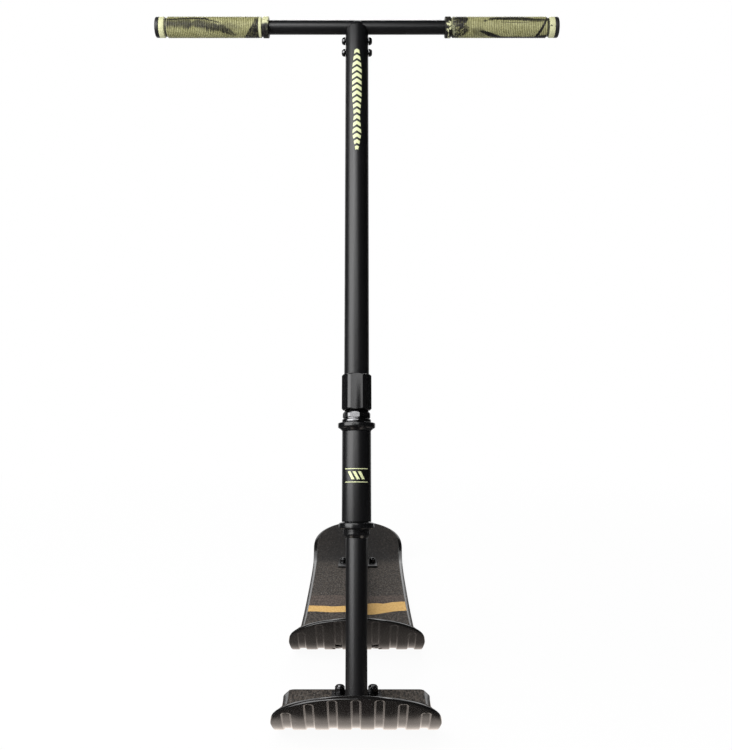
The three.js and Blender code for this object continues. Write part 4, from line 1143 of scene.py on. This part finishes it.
def gripShape():
    g = gripFacts
    start, end, bore, collar, ring, groove = [g[key] for key in ("start", "end", "bore", "collar", "ring", "groove")]
    outline = [(bore, start, 0), (collar, start, 0.0012), (collar, start + 0.0090, 0.0012),
               (groove, start + 0.0092, 0.0003), (groove, start + 0.0112, 0.0003), (ring, start + 0.0114, 0.0006),
               (ring, start + 0.0156, 0.0005)]
    low, high = start + 0.0159, end - 0.0124
    ribs = round((high - low) / g["ribPitch"])
    pitch = (high - low) / ribs
    for k in range(ribs):
        base = low + k * pitch
        outline += [(g["ribs"] - g["ribDepth"] * (1 - lift), base + pitch * share, 0) for share, lift in g["rib"]]
    outline += [(groove, end - 0.0122, 0.0003), (groove, end - 0.0081, 0.0003), (ring, end - 0.0078, 0.0008),
                (ring, end - 0.0001, 0.0006), (0.0152, end, 0), (bore, end, 0)]
    return turned("grip", rounded(outline, 3))


def plugShape():
    p = plugFacts
    face = gripFacts["end"] + p["gap"]
    top, floor = face + p["rise"], face + p["floor"]
    return turned("plug", rounded([
        (0, face - p["length"], 0), (p["stem"], face - p["length"], 0.0006), (p["stem"], face, 0),
        (p["head"], face, 0.0006), (p["head"], top, 0.0026), (p["lip"], top, 0.0003), (p["dish"], floor, 0.0003),
        (0, floor, 0)], 5))


gripModel, plugModel = gripShape(), plugShape()
for side, way, rubber in (("left", alongLeft, leftRubber), ("right", alongRight, rightRubber)):
    place = columnPlace @ barPlace @ way
    piece = settle(copied(gripModel, "grip"), place)
    dress(piece, "ribbed_grip_" + side, "grip_" + side, "steering", rubber)
    piece = settle(copied(plugModel, "plug"), place)
    dress(piece, "round_end_plug_" + side, "bar_end_plug_" + side, "steering", plugPlastic)
bpy.data.objects.remove(gripModel)
bpy.data.objects.remove(plugModel)
print("grips ready")


# Main tube: a straight from the head tube, a bend, and a straight along the deck

rail = {"radius": 0.0159, "wall": 0.0022, "neck": (-0.313220, 0.28899), "slope": math.radians(55.97), "height": 0.0321,
        "bendAt": (-0.100244, 0.1065), "bendRadius": 0.0744, "end": 0.387456, "mouth": 0.0203,
        "plugStem": 0.0134, "plugLip": 0.0092, "plugDish": 0.0086}


def railShape():
    slope, radius = rail["slope"], rail["bendRadius"]
    neckY, neckZ = rail["neck"]
    bendY = rail["bendAt"][0] - radius * math.sin(slope)
    bendZ = rail["bendAt"][1] - radius * math.cos(slope)
    # The circle's plane is square to the neck, which goes back and down
    piece = applied(added("mainTube", "circle", vertices=96, radius=rail["radius"], location=(0, neckY, neckZ),
                          rotation=(math.pi / 2 - slope, 0, 0), fill_type="NOTHING"))
    openEdit(piece)
    select()
    bpy.ops.mesh.extrude_region_move(TRANSFORM_OT_translate={"value": (0, bendY - neckY, bendZ - neckZ)})
    bpy.ops.mesh.spin(steps=28, angle=-slope, center=(0, *rail["bendAt"]), axis=(1, 0, 0))
    bpy.ops.mesh.extrude_region_move(TRANSFORM_OT_translate={"value": (0, rail["end"] - rail["bendAt"][0], 0)})
    merged()
    modified(finished(piece), "SOLIDIFY", thickness=rail["wall"], offset=-1)
    return piece


mainTube = railShape()
boolean(mainTube, settle(rod("room", rail["mouth"], 0.1, 0.5, 128), columnPlace))

# The weld round the tube's mouth, where it meets the head tube
lean, slope = column["lean"], rail["slope"]
axisPoint, axisWay = Vector((0, column["foot"], 0)), Vector((0, math.sin(lean), math.cos(lean)))
tubePoint = Vector((0, *rail["neck"]))
tubeWay = Vector((0, math.cos(slope), -math.sin(slope)))
tubeUp = Vector((0, math.sin(slope), math.cos(slope)))
neckWeld = {"reach": 0.0206, "parts": 200, "size": 0.0026, "ripple": 0.15, "beads": 46,
            "farthest": 0.12, "halvings": 40}
weldPath = []
for k in range(neckWeld["parts"]):
    angle = k / neckWeld["parts"] * math.tau
    out = Vector((1, 0, 0)) * math.cos(angle) + tubeUp * math.sin(angle)
    start = tubePoint + out * rail["radius"]
    low, high = 0.0, neckWeld["farthest"]
    for _ in range(neckWeld["halvings"]):
        middle = (low + high) / 2
        point = start + tubeWay * middle - axisPoint
        away = (point - axisWay * point.dot(axisWay)).length
        low, high = (middle, high) if away < neckWeld["reach"] else (low, middle)
    weldPath.append((start + tubeWay * high, out, tubeWay))
joined(mainTube, bead("neckWeld", weldPath, neckWeld["size"], neckWeld["ripple"], neckWeld["beads"]))
dress(mainTube, "bent_main_tube", "main_tube", "frame", blackPaint)

inner, outer, lip, dish = rail["plugStem"], rail["radius"], rail["plugLip"], rail["plugDish"]
piece = turned("tubePlug", rounded([(0, -0.014, 0), (inner, -0.014, 0.0005), (inner, 0.0, 0), (outer, 0.0, 0.0004),
                                    (outer, 0.005, 0.0018), (lip, 0.005, 0.0003), (dish, 0.0042, 0.0003),
                                    (0, 0.0042, 0)], 4))
settle(piece, Matrix.Translation((0, rail["end"] + 0.0003, rail["height"])) @ backward)
dress(piece, "round_tube_plug", "main_tube_plug", "frame", plugPlastic)


# Plates under the main tube: one rolled to the nose, one flat

saddle = {"side": 0.040, "length": 0.040, "run": 0.054, "cuts": 12}
foot = {"side": 0.040, "length": 0.056, "run": 0.465}
plateWeldFacts = {"half": 0.0085, "corner": 0.006, "part": 0.0011, "bead": 0.0034, "size": 0.0021, "lift": 0.001,
                  "ripple": 0.16}


def plateWeld(name, onPlate, ends):
    # One weld loop in the corner between the tube and the plate that it lies on
    w = plateWeldFacts
    half, corner = w["half"], w["corner"]
    outline = rounded([(-half, -ends, corner), (half, -ends, corner), (half, ends, corner), (-half, ends, corner)], 8)
    path = []
    for (ax, ay), (bx, by) in zip(outline, outline[1:] + outline[:1]):
        way = Vector((by - ay, ax - bx, 0)).normalized()
        parts = max(1, round(math.hypot(bx - ax, by - ay) / w["part"]))
        for k in range(parts):
            path.append(onPlate(ax + (bx - ax) * k / parts, ay + (by - ay) * k / parts, way))
    return bead(name, path, w["size"], w["ripple"], round(len(path) * w["part"] / w["bead"]))


def onFoot(x, y, way):
    return Vector((x, footAt + y, plate["high"] + plateWeldFacts["lift"])), way, Vector((0, 0, 1))


def onSaddle(x, y, way):
    reach = nose["radius"] - plate["high"]
    angle = saddle["run"] / nose["radius"] - y / reach
    up = Vector((0, math.sin(angle), math.cos(angle)))
    along = Vector((0, math.cos(angle), -math.sin(angle)))
    centre = Vector((x, rearBoard["start"], nose["radius"]))
    return centre - up * (reach - plateWeldFacts["lift"]), Vector((way.x, 0, 0)) + along * way.y, up


footAt = rearBoard["start"] + foot["run"]
piece = roundedPlate("footPlate", foot["side"], footAt - foot["length"] / 2, footAt + foot["length"] / 2)
joined(piece, plateWeld("footWeld", onFoot, foot["length"] / 2 - 0.004))
dress(piece, "flat_foot_plate", "foot_plate", "frame", blackPaint)

piece = roundedPlate("saddlePlate", saddle["side"], -saddle["length"] / 2, saddle["length"] / 2)
openEdit(piece)
for k in range(1, saddle["cuts"]):
    # Cut across, so that the plate can be rolled
    select()
    bpy.ops.mesh.bisect(plane_co=(0, saddle["length"] * (k / saddle["cuts"] - 0.5), 0), plane_no=(0, 1, 0))
closeEdit()
for vertex in piece.data.vertices:
    x, along, height = vertex.co
    angle = (saddle["run"] - along / (1 - plate["low"] / nose["radius"])) / nose["radius"]
    reach = nose["radius"] - height
    vertex.co = (x, rearBoard["start"] - reach * math.sin(angle), nose["radius"] - reach * math.cos(angle))
joined(piece, plateWeld("saddleWeld", onSaddle, saddle["length"] / 2 - 0.003))
dress(piece, "rolled_saddle_plate", "saddle_plate", "frame", blackPaint)
print("frame tubes ready")

for node in ("lower_bearing", "upper_bearing"):
    ring = bpy.data.objects[node]
    ring.data.materials.clear()
    ring.data.materials.append(bearingSteel)
